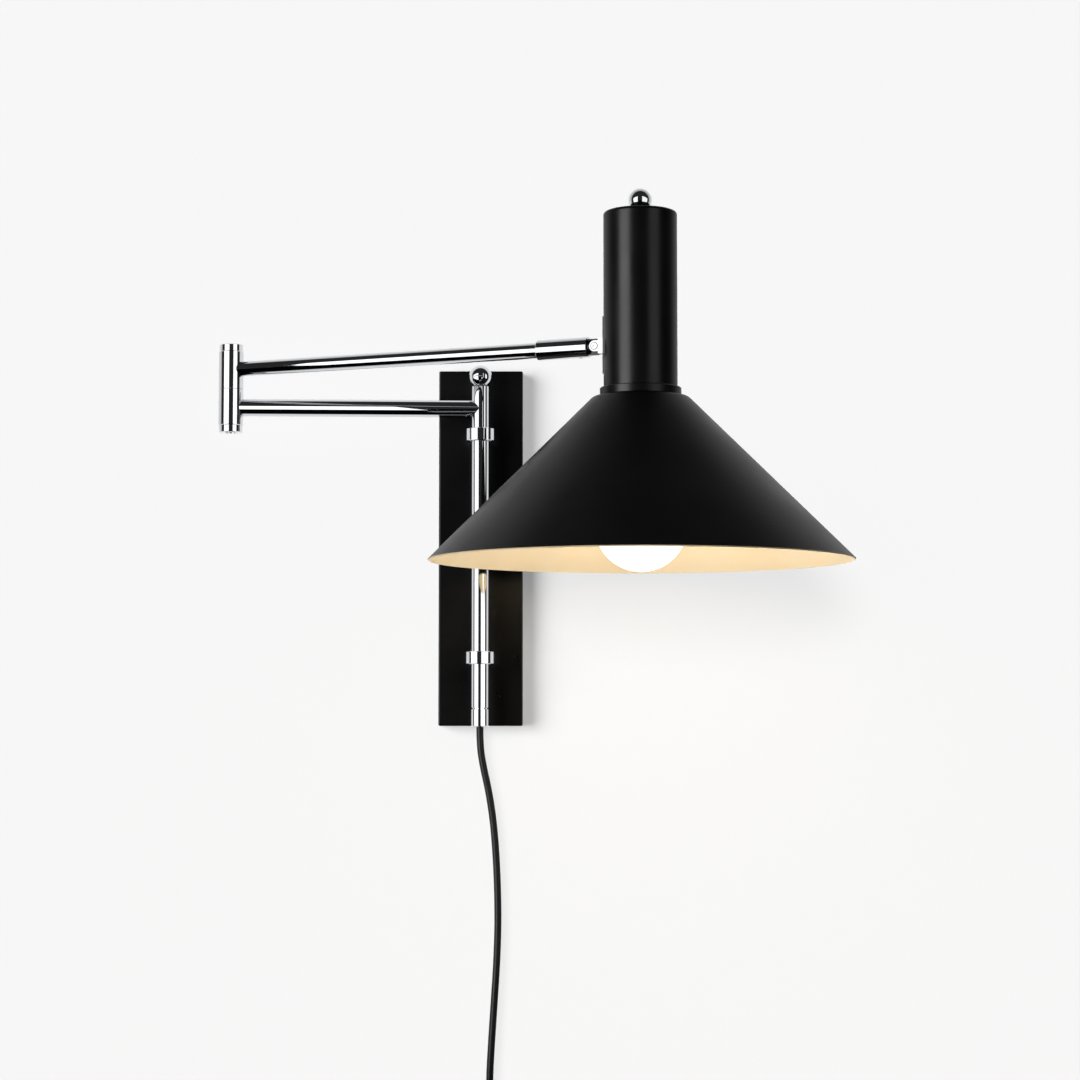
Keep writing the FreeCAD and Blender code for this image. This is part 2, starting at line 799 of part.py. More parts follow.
# ---- upper arm ----


def upper_elbow():
    """The elbow's turning half: barrel, bearing bush, washers and top cap."""
    edge = "collar_edge"
    low = size("elbow_split") + size("split_gap") / 2
    height = "elbow_top - elbow_split - split_gap / 2"
    bush = "shaft_radius + running_gap + bush_thick"
    well = f"{height} - nut_well"
    outline = [
        (bush, "0"),
        ("elbow_radius", "0"),
        ("elbow_radius", f"{height} - {edge}"),
        (f"elbow_radius - {edge}", height),
        ("shoulder_radius", height),
        ("shoulder_radius", well),
        (bush, well),
    ]
    barrel = turned("upper_barrel_blank", outline, elbow_axis(low))
    rise = size("upper_arm_rise")
    wiring = arm_hole("upper_barrel_wiring", "lead_radius + 1", elbow_axis(rise), upper_direction())
    node(cut("upper_elbow_barrel", barrel, wiring), "upper_elbow_barrel")
    sleeve = ring("bush_blank", "shaft_radius + running_gap", bush, well, elbow_axis(low))
    node(cut("elbow_bush", sleeve, wiring), "elbow_bush")
    sunk = low - size("split_gap") - size("thrust_sink")
    thrust = ring("elbow_thrust_washer", "shaft_radius + running_gap", "shoulder_radius - split_gap",
                  "split_gap + thrust_sink", elbow_axis(sunk))
    node(thrust, "elbow_thrust_washer")
    seat = size("elbow_top") - size("nut_well")
    spring = ring("elbow_spring_washer", "shaft_radius + running_gap", "shoulder_radius - split_gap",
                  "washer_thick", elbow_axis(seat))
    node(spring, "elbow_spring_washer")
    outline = [
        ("0", "0"),
        ("shoulder_radius", "0"),
        ("shoulder_radius", "washer_thick"),
        ("elbow_cap_radius", "washer_thick"),
        ("elbow_cap_radius", f"washer_thick + elbow_cap_length - {edge}"),
        (f"elbow_cap_radius - {edge}", "washer_thick + elbow_cap_length"),
        ("0", "washer_thick + elbow_cap_length"),
    ]
    cap = turned("upper_elbow_cap", outline, elbow_axis(size("elbow_top") - size("washer_thick")))
    node(cap, "upper_elbow_cap")


def upper_arm():
    """The upper arm's tube and the hollow spigot and lock nut that the sleeve swivels on."""
    rise = size("upper_arm_rise")
    at_elbow = rod("upper_cope", "elbow_radius", "4 * upper_arm_radius",
                   elbow_axis(rise - 2 * size("upper_arm_radius")))
    coped_tube("upper_arm_tube", "upper_arm_radius", "arm_wall", "upper_arm_end", elbow_axis(rise),
               upper_direction(), at_elbow)
    web_end = size("sleeve_start") + size("sleeve_length") / 2 + size("sleeve_web")
    tail = "sleeve_start + sleeve_length / 2 + sleeve_web + washer_thick + nut_thick - upper_arm_end"
    outline = [
        ("spigot_bore", "0"),
        ("upper_arm_radius - arm_wall", "0"),
        ("upper_arm_radius - arm_wall", "spigot_press"),
        ("spigot_radius", "spigot_press"),
        ("spigot_radius", f"spigot_press + {tail}"),
        ("spigot_bore", f"spigot_press + {tail}"),
    ]
    start = on_arm(size("upper_arm_end") - size("spigot_press"))
    node(turned("arm_end_spigot", outline, start, upper_direction()), "arm_end_spigot")
    seat = web_end + size("washer_thick")
    nut = ring("swivel_lock_nut", "spigot_radius", "sleeve_well - tip_gap", "nut_thick", on_arm(seat),
               upper_direction())
    node(nut, "swivel_lock_nut")


# ---- arm end: swivel sleeve and knuckle ----


def arm_end():
    """Sleeve that turns on the arm, its set screws and washer, and the knuckle clamped in its end."""
    along = upper_direction()
    middle = "sleeve_length / 2"
    start = size("sleeve_start")
    outline = [
        ("upper_arm_radius + running_gap", "0"),
        ("sleeve_radius - sleeve_edge", "0"),
        ("sleeve_radius", "sleeve_edge"),
        ("sleeve_radius", "sleeve_length - sleeve_edge"),
        ("sleeve_radius - sleeve_edge", "sleeve_length"),
        ("sleeve_well", "sleeve_length"),
        ("sleeve_well", f"{middle} + sleeve_web"),
        ("spigot_radius + running_gap", f"{middle} + sleeve_web"),
        ("spigot_radius + running_gap", middle),
        ("upper_arm_radius + running_gap", middle),
    ]
    sleeve = turned("sleeve_blank", outline, on_arm(start), along)
    screw_place = start + size("sleeve_length") - size("screw_setback")
    screws = []
    tip = size("sleeve_well") - size("groove_depth")
    for side in (-1, 1):
        spot = on_arm(screw_place, rise=side * tip)
        long = "sleeve_radius - sleeve_well + groove_depth / 2"
        screws.append(rod(f"sleeve_screw{side + 2}", "grub_radius", long, spot, (0, 0, side)))
    holes = [
        rod(f"sleeve_screw_hole{side + 2}", "grub_radius", "sleeve_radius",
            on_arm(screw_place, rise=side * tip), (0, 0, side))
        for side in (-1, 1)
    ]
    node(cut("arm_end_sleeve", sleeve, *holes), "arm_end_sleeve")
    keys = [
        hexagon(f"sleeve_screw_key{side + 2}", "grub_radius", "sleeve_radius",
                on_arm(screw_place, rise=side * (size("sleeve_radius") - 1.2)), (0, 0, side))
        for side in (-1, 1)
    ]
    cut_screws = [cut(f"sleeve_set_screw{i}", screw, key) for i, (screw, key) in enumerate(zip(screws, keys))]
    node(group("sleeve_set_screws", *cut_screws), "sleeve_set_screws")

    web_end = start + size("sleeve_length") / 2 + size("sleeve_web")
    spring = ring("swivel_spring_washer", "spigot_radius + running_gap", "sleeve_well", "washer_thick",
                  on_arm(web_end), along)
    node(spring, "swivel_spring_washer")

    sleeve_end = start + size("sleeve_length")
    outline = [
        ("spigot_bore", "0"),
        ("sleeve_well", "0"),
        ("sleeve_well", "knuckle_shank"),
        ("knuckle_radius", "knuckle_shank"),
        ("knuckle_radius", "knuckle_shank + knuckle_lip"),
        ("spigot_bore", "knuckle_shank + knuckle_lip"),
    ]
    shank = turned("knuckle_blank", outline, on_arm(sleeve_end - size("knuckle_shank")), along)
    side = arm_side()
    pin = size("pin_place")
    long = "pin_place - sleeve_start - sleeve_length"
    bar = block("knuckle_bar", "2 * knuckle_radius", "knuckle_thick", long, on_arm(sleeve_end), along)
    bar.Placement = slot_placement(bar, sleeve_end)
    thick = size("knuckle_thick")
    eye = rod("knuckle_eye", "knuckle_radius", "knuckle_thick", on_arm(pin, side=-thick / 2), side)
    bore_at = on_arm(pin, side=-thick)
    bore = rod("knuckle_bore", "pin_radius + running_gap", "2 * knuckle_thick", bore_at, side)
    node(cut("hinge_knuckle", fused("knuckle_shaped", shank, bar, eye), bore, *holes), "hinge_knuckle")


def slot_placement(slot, floor):
    """A slot's box, opening along the arm, thin across it and tall up and down."""
    along = FreeCAD.Vector(*upper_direction())
    side = FreeCAD.Vector(*arm_side())
    turn = FreeCAD.Rotation(FreeCAD.Vector(0, 0, 1), side, along, "ZYX")
    offset = FreeCAD.Vector(-slot.Length.Value / 2, -slot.Width.Value / 2, 0)
    place = FreeCAD.Placement(FreeCAD.Vector(*on_arm(floor)), turn)
    return place.multiply(FreeCAD.Placement(offset, FreeCAD.Rotation()))


# ---- head ----


def hinge_pin(across, half):
    """Screw that the head tilts on, through both ears, and its nut in the back ear."""
    pin = size("pin_place")
    side = arm_side()
    back_way = (-side[0], -side[1], 0.0)
    head = "pin_radius * 1.7"
    outline = [
        ("0", "0"),
        ("pin_radius", "0"),
        ("pin_radius", f"{across} - pin_head_sink"),
        (head, f"{across} - pin_head_sink"),
        (head, across),
        (f"{head} - pin_head_sink / 2", f"{across} + pin_head_sink / 3"),
        ("0", f"{across} + pin_head_sink / 3"),
    ]
    screw = turned("tilt_screw_blank", outline, on_arm(pin, side=-half), side)
    key_at = on_arm(pin, side=half - size("pin_head_sink") / 2)
    key = hexagon("tilt_screw_key", "pin_radius * 1.2", "pin_radius", key_at, side)
    node(cut("tilt_screw", screw, key), "tilt_screw")
    seat = on_arm(pin, side=size("pin_nut_sink") - half)
    nut = hexagon("tilt_nut_blank", "pin_radius * 3.4", "pin_nut_thick", seat, back_way)
    nut_hole = rod("tilt_nut_hole", "pin_radius", "pin_nut_thick", seat, back_way)
    node(cut("tilt_nut", nut, nut_hole), "tilt_nut")
    spot = on_arm(pin, side=half - size("pin_head_sink"))
    return [
        rod("fork_pin_hole", "pin_radius", across, on_arm(pin, side=-half), side),
        rod("fork_front_spot", f"{head} + running_gap", "ear_thick", spot, side),
        rod("fork_back_spot", "pin_radius * 2.1", "ear_thick", seat, back_way),
    ]


def hinge():
    """Fork that tilts on the arm's knuckle, with its pin and nuts, and the strap round it with its screws."""
    along = upper_direction()
    pin = size("pin_place")
    reach = size("upper_arm_length") - size("neck_radius")
    rise = size("upper_arm_rise")
    across = "(knuckle_thick + 2 * ear_gap + 2 * ear_thick)"
    half = size("knuckle_thick") / 2 + size("ear_gap") + size("ear_thick")
    eye = rod("fork_eye", "ear_radius", across, on_arm(pin, side=-half), arm_side())
    bar = block("fork_bar", "2 * ear_radius", across, "neck_radius", on_arm(pin), along)
    bar.Placement = slot_placement(bar, pin)
    root_at = pin + size("ear_step")
    root = block("fork_root", "2 * ear_root", across, "neck_radius", on_arm(root_at), along)
    root.Placement = slot_placement(root, root_at)
    slot_at = pin - 2 * size("ear_radius")
    slot = block("fork_slot", "4 * knuckle_radius", "knuckle_thick + 2 * ear_gap",
                 "2 * ear_radius + knuckle_radius + split_gap", on_arm(slot_at), along)
    slot.Placement = slot_placement(slot, slot_at)
    low = head_axis(rise - 2 * size("strap_height"))
    face = rod("fork_face", "neck_radius", "4 * strap_height", low)
    ears = cut("fork_ears", fused("fork_plate", eye, bar, root), slot, face, *hinge_pin(across, half))
    web = pin + size("knuckle_radius") + size("split_gap")
    stem = rod("fork_stem", "fork_stud_radius", "neck_radius", on_arm(web), along)
    core = rod("fork_core", "neck_radius - 2 * neck_wall - nut_thick", "4 * strap_height", low)
    node(fused("hinge_fork", ears, cut("fork_stud", stem, core)), "hinge_fork")
    inner = size("neck_radius") - size("neck_wall")
    flats = "3.5 * fork_stud_radius"
    corner = 3.5 * size("fork_stud_radius") / math.sqrt(3)
    seat = size("upper_arm_length") - math.sqrt(inner ** 2 - corner ** 2)
    blank = hexagon("fork_nut_blank", flats, "stud_nut_thick", on_arm(seat), along)
    nut_hole = rod("fork_nut_hole", "fork_stud_radius", "stud_nut_thick", on_arm(seat), along)
    node(cut("fork_nut", blank, nut_hole), "fork_nut")

    half = size("strap_height") / 2
    tube_at = head_axis(rise - half)
    tube = ring("strap_tube", "neck_radius", "neck_radius + strap_thick", "strap_height", tube_at)
    window = block("strap_window", "strap_height", "strap_width", "neck_radius", on_arm(reach - 4), along)
    window.Placement = slot_placement(window, reach - 4)
    strap = common("strap_blank", tube, window)
    opening = block("strap_opening", "2 * ear_root + ear_gap", f"{across} + ear_gap", "neck_radius",
                    on_arm(root_at), along)
    opening.Placement = slot_placement(opening, root_at)
    stud_hole = rod("neck_stud_hole", "fork_stud_radius", "neck_radius", on_arm(web), along)
    screws, nuts, drills = [], [], []
    crown = size("neck_radius") + size("strap_thick")
    for way in (-1, 1):
        up = way * size("strap_screw_spacing") / 2
        seat_at = size("upper_arm_length") - crown
        outline = [
            ("0", "0"),
            ("strap_screw_head * 0.7", "0"),
            ("strap_screw_head", "strap_screw_dome * 0.4"),
            ("strap_screw_head", "strap_screw_dome"),
            ("strap_screw_radius", "strap_screw_dome"),
            ("strap_screw_radius", "strap_screw_dome + strap_screw_shank"),
            ("0", "strap_screw_dome + strap_screw_shank"),
        ]
        start = on_arm(seat_at - size("strap_screw_dome"), rise=up)
        blank = turned(f"strap_screw{way + 2}", outline, start, along)
        key = hexagon(f"strap_screw_key{way + 2}", "strap_screw_radius", "strap_screw_dome", start, along)
        screws.append(cut(f"saddle_screw{way + 2}", blank, key))
        drill_at = on_arm(seat_at - 3, rise=up)
        drills.append(rod(f"strap_drill{way + 2}", "strap_screw_radius", "neck_radius", drill_at, along))
        corner = 3.5 * size("strap_screw_radius") / math.sqrt(3)
        nut_seat = size("upper_arm_length") - math.sqrt(inner ** 2 - corner ** 2)
        nut = hexagon(f"saddle_nut_blank{way + 2}", "3.5 * strap_screw_radius", "stud_nut_thick",
                      on_arm(nut_seat, rise=up), along)
        nut_bore = rod(f"saddle_nut_bore{way + 2}", "strap_screw_radius", "stud_nut_thick",
                       on_arm(nut_seat, rise=up), along)
        nuts.append(cut(f"saddle_nut{way + 2}", nut, nut_bore))
    node(cut("saddle_strap", strap, opening, *drills), "saddle_strap")
    node(group("saddle_screws", *screws), "saddle_screws")
    node(group("saddle_nuts", *nuts), "saddle_nuts")
    return [stud_hole, *drills]


def neck(drills):
    """Drawn neck shell, closed on top round the switch's spindle, and the gallery ring under it."""
    floor = size("shade_top") + size("gallery_height")
    wall = "neck_wall"
    tall = "neck_top - shade_top - gallery_height"
    spindle = "spindle_radius + spindle_gap"
    outline = [
        ("neck_radius - neck_wall", "0"),
        ("neck_radius", "0"),
        ("neck_radius", tall),
        (spindle, tall),
        (spindle, f"{tall} - {wall}"),
        ("neck_radius - neck_wall", f"{tall} - {wall}"),
    ]
    drawn = turned("neck_drawn", outline, head_axis(floor))
    top = size("neck_top")
    inner = size("neck_radius") - size("neck_wall")

    def outer_rim(edge):
        box = edge.BoundBox
        return box.ZMin > top - 0.01 and box.XLength > 2 * inner

    soft = rounded("neck_soft", drawn, size("neck_round"), outer_rim)
    node(cut("neck_shell", soft, *drills), "neck_shell")
    outline = [
        ("socket_radius + running_gap", "0"),
        ("gallery_radius - gallery_edge", "0"),
        ("gallery_radius", "gallery_edge"),
        ("gallery_radius", "gallery_height - gallery_edge"),
        ("gallery_radius - gallery_edge", "gallery_height"),
        ("neck_radius - neck_wall", "gallery_height"),
        ("neck_radius - neck_wall", "gallery_height + gallery_sleeve"),
        ("socket_flange + running_gap", "gallery_height + gallery_sleeve"),
        ("socket_flange + running_gap", "gallery_height - flange_thick"),
        ("socket_radius + running_gap", "gallery_height - flange_thick"),
    ]
    node(turned("shade_collar", outline, head_axis(size("shade_top"))), "shade_collar")


def lamp_shade():
    """Spun cone with a flat top, a rounded shoulder and a thickened hem, and the ring that clamps it."""
    rim = size("shade_top") - size("shade_height")
    run = "(shade_radius - shade_shoulder)"
    drop = "(shade_height - shade_hem)"
    slant = f"sqrt(1 + pow({run} / {drop}; 2))"
    skew = f"(shade_wall * {slant})"
    step = f"(shade_wall * ({slant} - {run} / {drop}))"
    outline = [
        (f"shade_radius - {skew}", "0"),
        ("shade_radius", "0"),
        ("shade_radius", "shade_hem"),
        ("shade_shoulder", "shade_height"),
        ("socket_radius + running_gap", "shade_height"),
        ("socket_radius + running_gap", "shade_height - shade_wall"),
        (f"shade_shoulder - {step}", "shade_height - shade_wall"),
        (f"shade_radius - {skew}", "shade_hem"),
    ]
    spun = turned("shade_spun", outline, head_axis(rim))
    top = size("shade_top")
    wall = size("shade_wall")
    shoulder = size("shade_shoulder")

    def on_shoulder(edge, height, least):
        box = edge.BoundBox
        return box.ZMin > height - 0.01 and box.ZMax < height + 0.01 and box.XLength > 2 * least

    outer = rounded("shade_outer", spun, size("shade_round"), lambda e: on_shoulder(e, top, shoulder - 3))
    inner_round = size("shade_round") - wall
    inner = rounded("shade_inner", outer, inner_round, lambda e: on_shoulder(e, top - wall, shoulder - 4))
    node(inner, "shade")
    outline = [
        ("socket_radius", "0"),
        ("lock_ring_radius - lock_ring_edge", "0"),
        ("lock_ring_radius", "lock_ring_edge"),
        ("lock_ring_radius", "lock_ring_thick"),
        ("socket_radius", "lock_ring_thick"),
    ]
    seat = top - wall - size("lock_ring_thick")
    node(turned("shade_lock_ring", outline, head_axis(seat)), "shade_lock_ring")


def socket_and_bulb():
    """Lamp holder with its screw shell and contact, and the bulb with its base and contact."""
    base = size("socket_bottom")
    flange = "shade_top + gallery_height - flange_thick - socket_bottom"
    outline = [
        ("socket_bore", "0"),
        ("socket_radius", "0"),
        ("socket_radius", flange),
        ("socket_flange", flange),
        ("socket_flange", f"{flange} + flange_thick"),
        ("socket_radius - crown_step", f"{flange} + flange_thick"),
        ("socket_radius - crown_step", f"{flange} + flange_thick + socket_crown"),
        ("0", f"{flange} + flange_thick + socket_crown"),
        ("0", "socket_depth"),
        ("socket_bore", "socket_depth"),
    ]
    node(turned("lamp_socket", outline, head_axis(base)), "lamp_socket")
    bore = "bulb_base_radius + shell_gap"
    shell_at = head_axis(base + size("shell_rise"))
    shell = ring("socket_screw_shell", bore, f"{bore} + shell_thick", "shell_length", shell_at)
    node(shell, "socket_screw_shell")
    contact_base = size("bulb_neck_top") + size("bulb_base_length") + size("bulb_tip_length")
    stack = "socket_bottom + socket_depth - bulb_neck_top - bulb_base_length - bulb_tip_length"
    node(rod("socket_contact", "contact_radius", stack, head_axis(contact_base)), "socket_contact")

    centre = size("bulb_centre")
    throat = size("bulb_neck_top")
    length = "(bulb_neck_top - bulb_centre)"
    shells = []
    for name, radius, mouth in (
        ("bulb_outer", "bulb_radius", "bulb_neck"),
        ("bulb_inner", "(bulb_radius - bulb_glass)", "(bulb_neck - bulb_glass)"),
    ):
        sphere = ball(f"{name}_globe", radius, head_axis(centre))
        lean = f"(acos({radius} / hypot({mouth}; {length})) + atan2({mouth}; {length}))"
        cone = doc.addObject("Part::Cone", f"{name}_throat")
        drop = f"{radius} * cos({lean})"
        bind(cone, Radius1=f"{radius} * sin({lean})", Radius2=mouth, Height=f"{length} - {drop}")
        doc.recompute()
        cone.Placement = placed(head_axis(throat - cone.Height.Value))
        shells.append(fused(name, sphere, cone))
    node(cut("bulb_globe", *shells), "bulb_globe")

    ridges = 5
    pitch = f"(bulb_base_length - bulb_base_skirt - bulb_base_taper) / {ridges}"
    outline = [("0", "0"), ("bulb_base_radius", "0"), ("bulb_base_radius", "bulb_base_skirt")]
    valley = "bulb_base_radius - bulb_thread_depth"
    for number in range(ridges):
        outline.append((valley, f"bulb_base_skirt + {number + 0.5} * {pitch}"))
        outline.append(("bulb_base_radius", f"bulb_base_skirt + {number + 1} * {pitch}"))
    outline += [("bulb_eyelet_radius", "bulb_base_length"), ("0", "bulb_base_length")]
    node(turned("bulb_base", outline, head_axis(throat)), "bulb_base")
    outline = [
        ("0", "0"),
        ("bulb_tip_radius", "0"),
        ("bulb_tip_radius", "bulb_tip_length / 2"),
        ("bulb_tip_end", "bulb_tip_length"),
        ("0", "bulb_tip_length"),
    ]
    tip = turned("bulb_contact", outline, head_axis(throat + size("bulb_base_length")))
    node(tip, "bulb_contact")


def rotary_switch():
    """Rotary switch under the neck's top, with its spindle and the ball that turns it."""
    under = size("neck_top") - size("neck_wall")
    outline = [
        ("spindle_radius + running_gap", "0"),
        ("switch_radius", "0"),
        ("switch_radius", "switch_length"),
        ("spindle_radius + running_gap", "switch_length"),
    ]
    node(turned("switch_body", outline, head_axis(under - size("switch_length"))), "switch_body")
    centre = size("neck_top") + size("knob_rise")
    lowest = "-asin((knob_rise - knob_gap) / knob_radius)"
    knob = ball("knob_ball", "knob_radius", head_axis(centre), lowest)
    bore = rod("knob_bore", "spindle_radius", "knob_rise", head_axis(size("neck_top")))
    node(cut("switch_ball", knob, bore), "switch_ball")
    start = under - size("switch_length") + 2
    spindle = rod("switch_spindle", "spindle_radius", "switch_length - 2 + neck_wall + knob_rise",
                  head_axis(start))
    node(spindle, "switch_spindle")


def write_parts():
    """Check every object and write each node's solid to its own file."""
    doc.recompute()
    for piece in doc.Objects:
        if "Invalid" in piece.State or "Error" in piece.State:
            raise RuntimeError(f"{piece.Label} failed to build: {piece.State}")
    for piece in nodes:
        shape = piece.Shape
        if shape.isNull() or not shape.isValid() or not shape.Solids:
            raise RuntimeError(f"{piece.Label} has no sound solid")
    os.makedirs("parts", exist_ok=True)
    for piece in nodes:
        piece.Shape.exportStep(f"parts/{piece.Label}.step")
    print(f"{len(nodes)} nodes written")


fill_sheet()
wall_bracket()
plate_cover()
collars()
post()
lower_arm()
lower_elbow()
leads()
power_cord()
plug()
upper_elbow()
upper_arm()
arm_end()
neck(hinge())
lamp_shade()
socket_and_bulb()
rotary_switch()
write_parts()
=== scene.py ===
"""Looks of the swing arm wall sconce: finishes, the turned shade, the lead and the studio."""

import logging
import math
from dataclasses import dataclass, field
from enum import Enum
from typing import Any, Callable, ClassVar, Iterable, Sequence

import bpy
from mathutils import Matrix, Vector


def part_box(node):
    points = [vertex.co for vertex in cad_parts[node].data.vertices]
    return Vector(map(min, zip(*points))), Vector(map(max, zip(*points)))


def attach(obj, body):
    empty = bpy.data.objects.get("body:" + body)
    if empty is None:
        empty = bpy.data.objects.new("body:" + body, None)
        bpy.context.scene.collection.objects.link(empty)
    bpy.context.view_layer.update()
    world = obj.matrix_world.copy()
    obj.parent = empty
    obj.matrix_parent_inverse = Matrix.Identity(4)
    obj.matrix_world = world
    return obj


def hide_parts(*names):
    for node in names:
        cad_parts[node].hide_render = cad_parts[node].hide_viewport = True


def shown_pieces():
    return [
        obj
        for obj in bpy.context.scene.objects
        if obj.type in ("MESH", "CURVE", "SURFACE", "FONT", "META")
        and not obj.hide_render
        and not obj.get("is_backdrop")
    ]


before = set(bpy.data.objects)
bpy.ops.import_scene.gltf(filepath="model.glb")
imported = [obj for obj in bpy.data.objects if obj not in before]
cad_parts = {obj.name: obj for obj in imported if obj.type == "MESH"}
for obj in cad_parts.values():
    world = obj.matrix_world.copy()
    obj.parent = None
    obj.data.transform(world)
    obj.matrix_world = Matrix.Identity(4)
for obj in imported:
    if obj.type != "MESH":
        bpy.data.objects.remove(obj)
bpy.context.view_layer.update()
MM = 0.001
LOG = logging.getLogger("sconce")

Point = tuple[float, float, float]
Outline = Sequence[tuple[float, float]]
Tree = bpy.types.NodeTree
Socket = bpy.types.NodeSocket
Piece = bpy.types.Object


# ---- small tools ----


def linear(hex_colour: str, alpha: float = 1.0) -> tuple[float, float, float, float]:
    """Turns an sRGB hex colour to the linear one that shaders take.

    Args:
        hex_colour: Six hex digits, with or without a leading hash.
        alpha: Opacity that goes with it.

    Returns:
        Red, green, blue and alpha.
    """
    digits = hex_colour.lstrip("#")
    channels = [int(digits[i : i + 2], 16) / 255 for i in (0, 2, 4)]
    red, green, blue = (c / 12.92 if c <= 0.04045 else ((c + 0.055) / 1.055) ** 2.4 for c in channels)
    return red, green, blue, alpha


def per_metre(size_mm: float) -> float:
    """The texture scale at which one feature is this many millimetres across."""
    return 1.0 / (size_mm * MM)


def metres(*values: float) -> Vector:
    """A point or size given in millimetres, as a vector in metres."""
    return Vector(values) * MM


def add_node(tree: Tree, kind: str, settings: dict[str, Any] | None = None,
             **sockets: Any) -> bpy.types.Node:
    """Adds a node with its settings, socket values and links.

    Args:
        tree: The node tree that takes it.
        kind: The node's Blender type name.
        settings: Attributes of the node itself.
        **sockets: Socket values by name with underscores for spaces, or i0, i1 ... by place. An
            output socket links instead of setting a value.

    Returns:
        The new node.
    """
    node = tree.nodes.new(kind)
    for name, value in (settings or {}).items():
        setattr(node, name, value)
    for name, value in sockets.items():
        by_place = name[0] == "i" and name[1:].isdigit()
        socket = node.inputs[int(name[1:])] if by_place else node.inputs[name.replace("_", " ")]
        if isinstance(value, Socket):
            tree.links.new(value, socket)
        else:
            socket.default_value = value
    return node


def ramp(tree: Tree, factor: Socket, stops: Sequence[tuple[float, str]]) -> Socket:
    """Maps a 0 to 1 factor to colours.

    Args:
        tree: The node tree that takes the ramp.
        factor: The socket that drives it.
        stops: Pairs of position and hex colour, lowest first.

    Returns:
        The ramp's colour socket.
    """
    node = add_node(tree, "ShaderNodeValToRGB", Fac=factor)
    band = node.color_ramp
    while len(band.elements) < len(stops):
        band.elements.new(0.5)
    for element, (place, colour) in zip(band.elements, stops):
        element.position = place
        element.color = linear(colour)
    return node.outputs["Color"]


def clear_selection() -> None:
    """Leaves edit mode and deselects everything, the CAD nodes too."""
    if bpy.context.object and bpy.context.object.mode != "OBJECT":
        bpy.ops.object.mode_set(mode="OBJECT")
    bpy.ops.object.select_all(action="DESELECT")


def begin(name: str, primitive: Callable[..., Any], **place: Any) -> Piece:
    """Adds a primitive at its size and place, with nothing else selected.

    Args:
        name: Name of the new piece.
        primitive: The operator that adds it.
        **place: The operator's own arguments.

    Returns:
        The new object, active and selected.
    """
    clear_selection()
    primitive(**place)
    piece = bpy.context.object
    piece.name = name
    piece.data.name = name
    return piece


def edit(piece: Piece, kind: str = "FACE") -> None:
    """Puts a piece in edit mode with all of it selected."""
    clear_selection()
    bpy.context.view_layer.objects.active = piece
    piece.select_set(True)
    bpy.ops.object.mode_set(mode="EDIT")
    bpy.ops.mesh.select_mode(type=kind)
    bpy.ops.mesh.select_all(action="SELECT")


def settle(piece: Piece, smooth_deg: float = 35.0) -> Piece:
    """Applies modifiers and place, and shades the piece smooth below an angle.

    Args:
        piece: The piece to finish.
        smooth_deg: Edges sharper than this stay sharp.

    Returns:
        The same piece, with its place in its mesh.
    """
    clear_selection()
    bpy.context.view_layer.objects.active = piece
    piece.select_set(True)
    for modifier in list(piece.modifiers):
        bpy.ops.object.modifier_apply(modifier=modifier.name)
    bpy.ops.object.transform_apply(location=True, rotation=True, scale=True)
    bpy.ops.object.shade_smooth_by_angle(angle=math.radians(smooth_deg))
    return piece


def turn(name: str, outline: Outline, axis: Vector, steps: int = 96, closed: bool = False) -> Piece:
    """Draws an outline by extruding one vertex and spins it round an upright axis.

    Args:
        name: Name of the piece.
        outline: Radius and height pairs in millimetres, in order along the outline.
        axis: A point on the axis, in metres.
        steps: Segments round the turn.
        closed: Whether the outline's last point joins its first.

    Returns:
        The turned piece, its faces outwards.
    """
    radius, height = outline[0]
    start = (axis.x + radius * MM, axis.y, height * MM)
    piece = begin(name, bpy.ops.mesh.primitive_plane_add, size=MM, location=start)
    edit(piece, "VERT")
    bpy.ops.mesh.merge(type="CENTER")
    ahead = list(outline[1:]) + ([outline[0]] if closed else [])
    for next_radius, next_height in ahead:
        shift = ((next_radius - radius) * MM, 0.0, (next_height - height) * MM)
        bpy.ops.mesh.extrude_region_move(TRANSFORM_OT_translate={"value": shift})
        radius, height = next_radius, next_height
    bpy.ops.mesh.select_all(action="SELECT")
    bpy.ops.mesh.spin(steps=steps, angle=math.tau, center=(axis.x, axis.y, 0.0), axis=(0.0, 0.0, 1.0))
    bpy.ops.mesh.select_all(action="SELECT")
    bpy.ops.mesh.remove_doubles(threshold=0.002 * MM)
    bpy.ops.mesh.normals_make_consistent(inside=False)
    bpy.ops.object.mode_set(mode="OBJECT")
    return piece


def paint(piece: Piece, *finishes: "Finish") -> Piece:
    """Gives a new piece its materials, in slot order."""
    piece.data.materials.clear()
    for finish in finishes:
        piece.data.materials.append(finish.material())
    return piece


def dress(finish: "Finish", *names: str) -> None:
    """Puts a finish on CAD nodes, whose meshes stay as they are."""
    for name in names:
        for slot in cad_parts[name].material_slots:
            slot.material = finish.material()


class Body(Enum):
    """The moving bodies that new pieces ride on."""

    POST = "post_arm"
    HEAD = "head"


def hand_in(piece: Piece, body: Body, slot: str, *replaced: str) -> Piece:
    """Parents a piece to the empty of the body that it rides on and hides the CAD nodes that it stands for.
    """
    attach(piece, body.value)
    if replaced:
        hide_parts(*replaced)
    LOG.info("%s rides on %s", piece.name, body.value)
    return piece


# ---- finishes ----


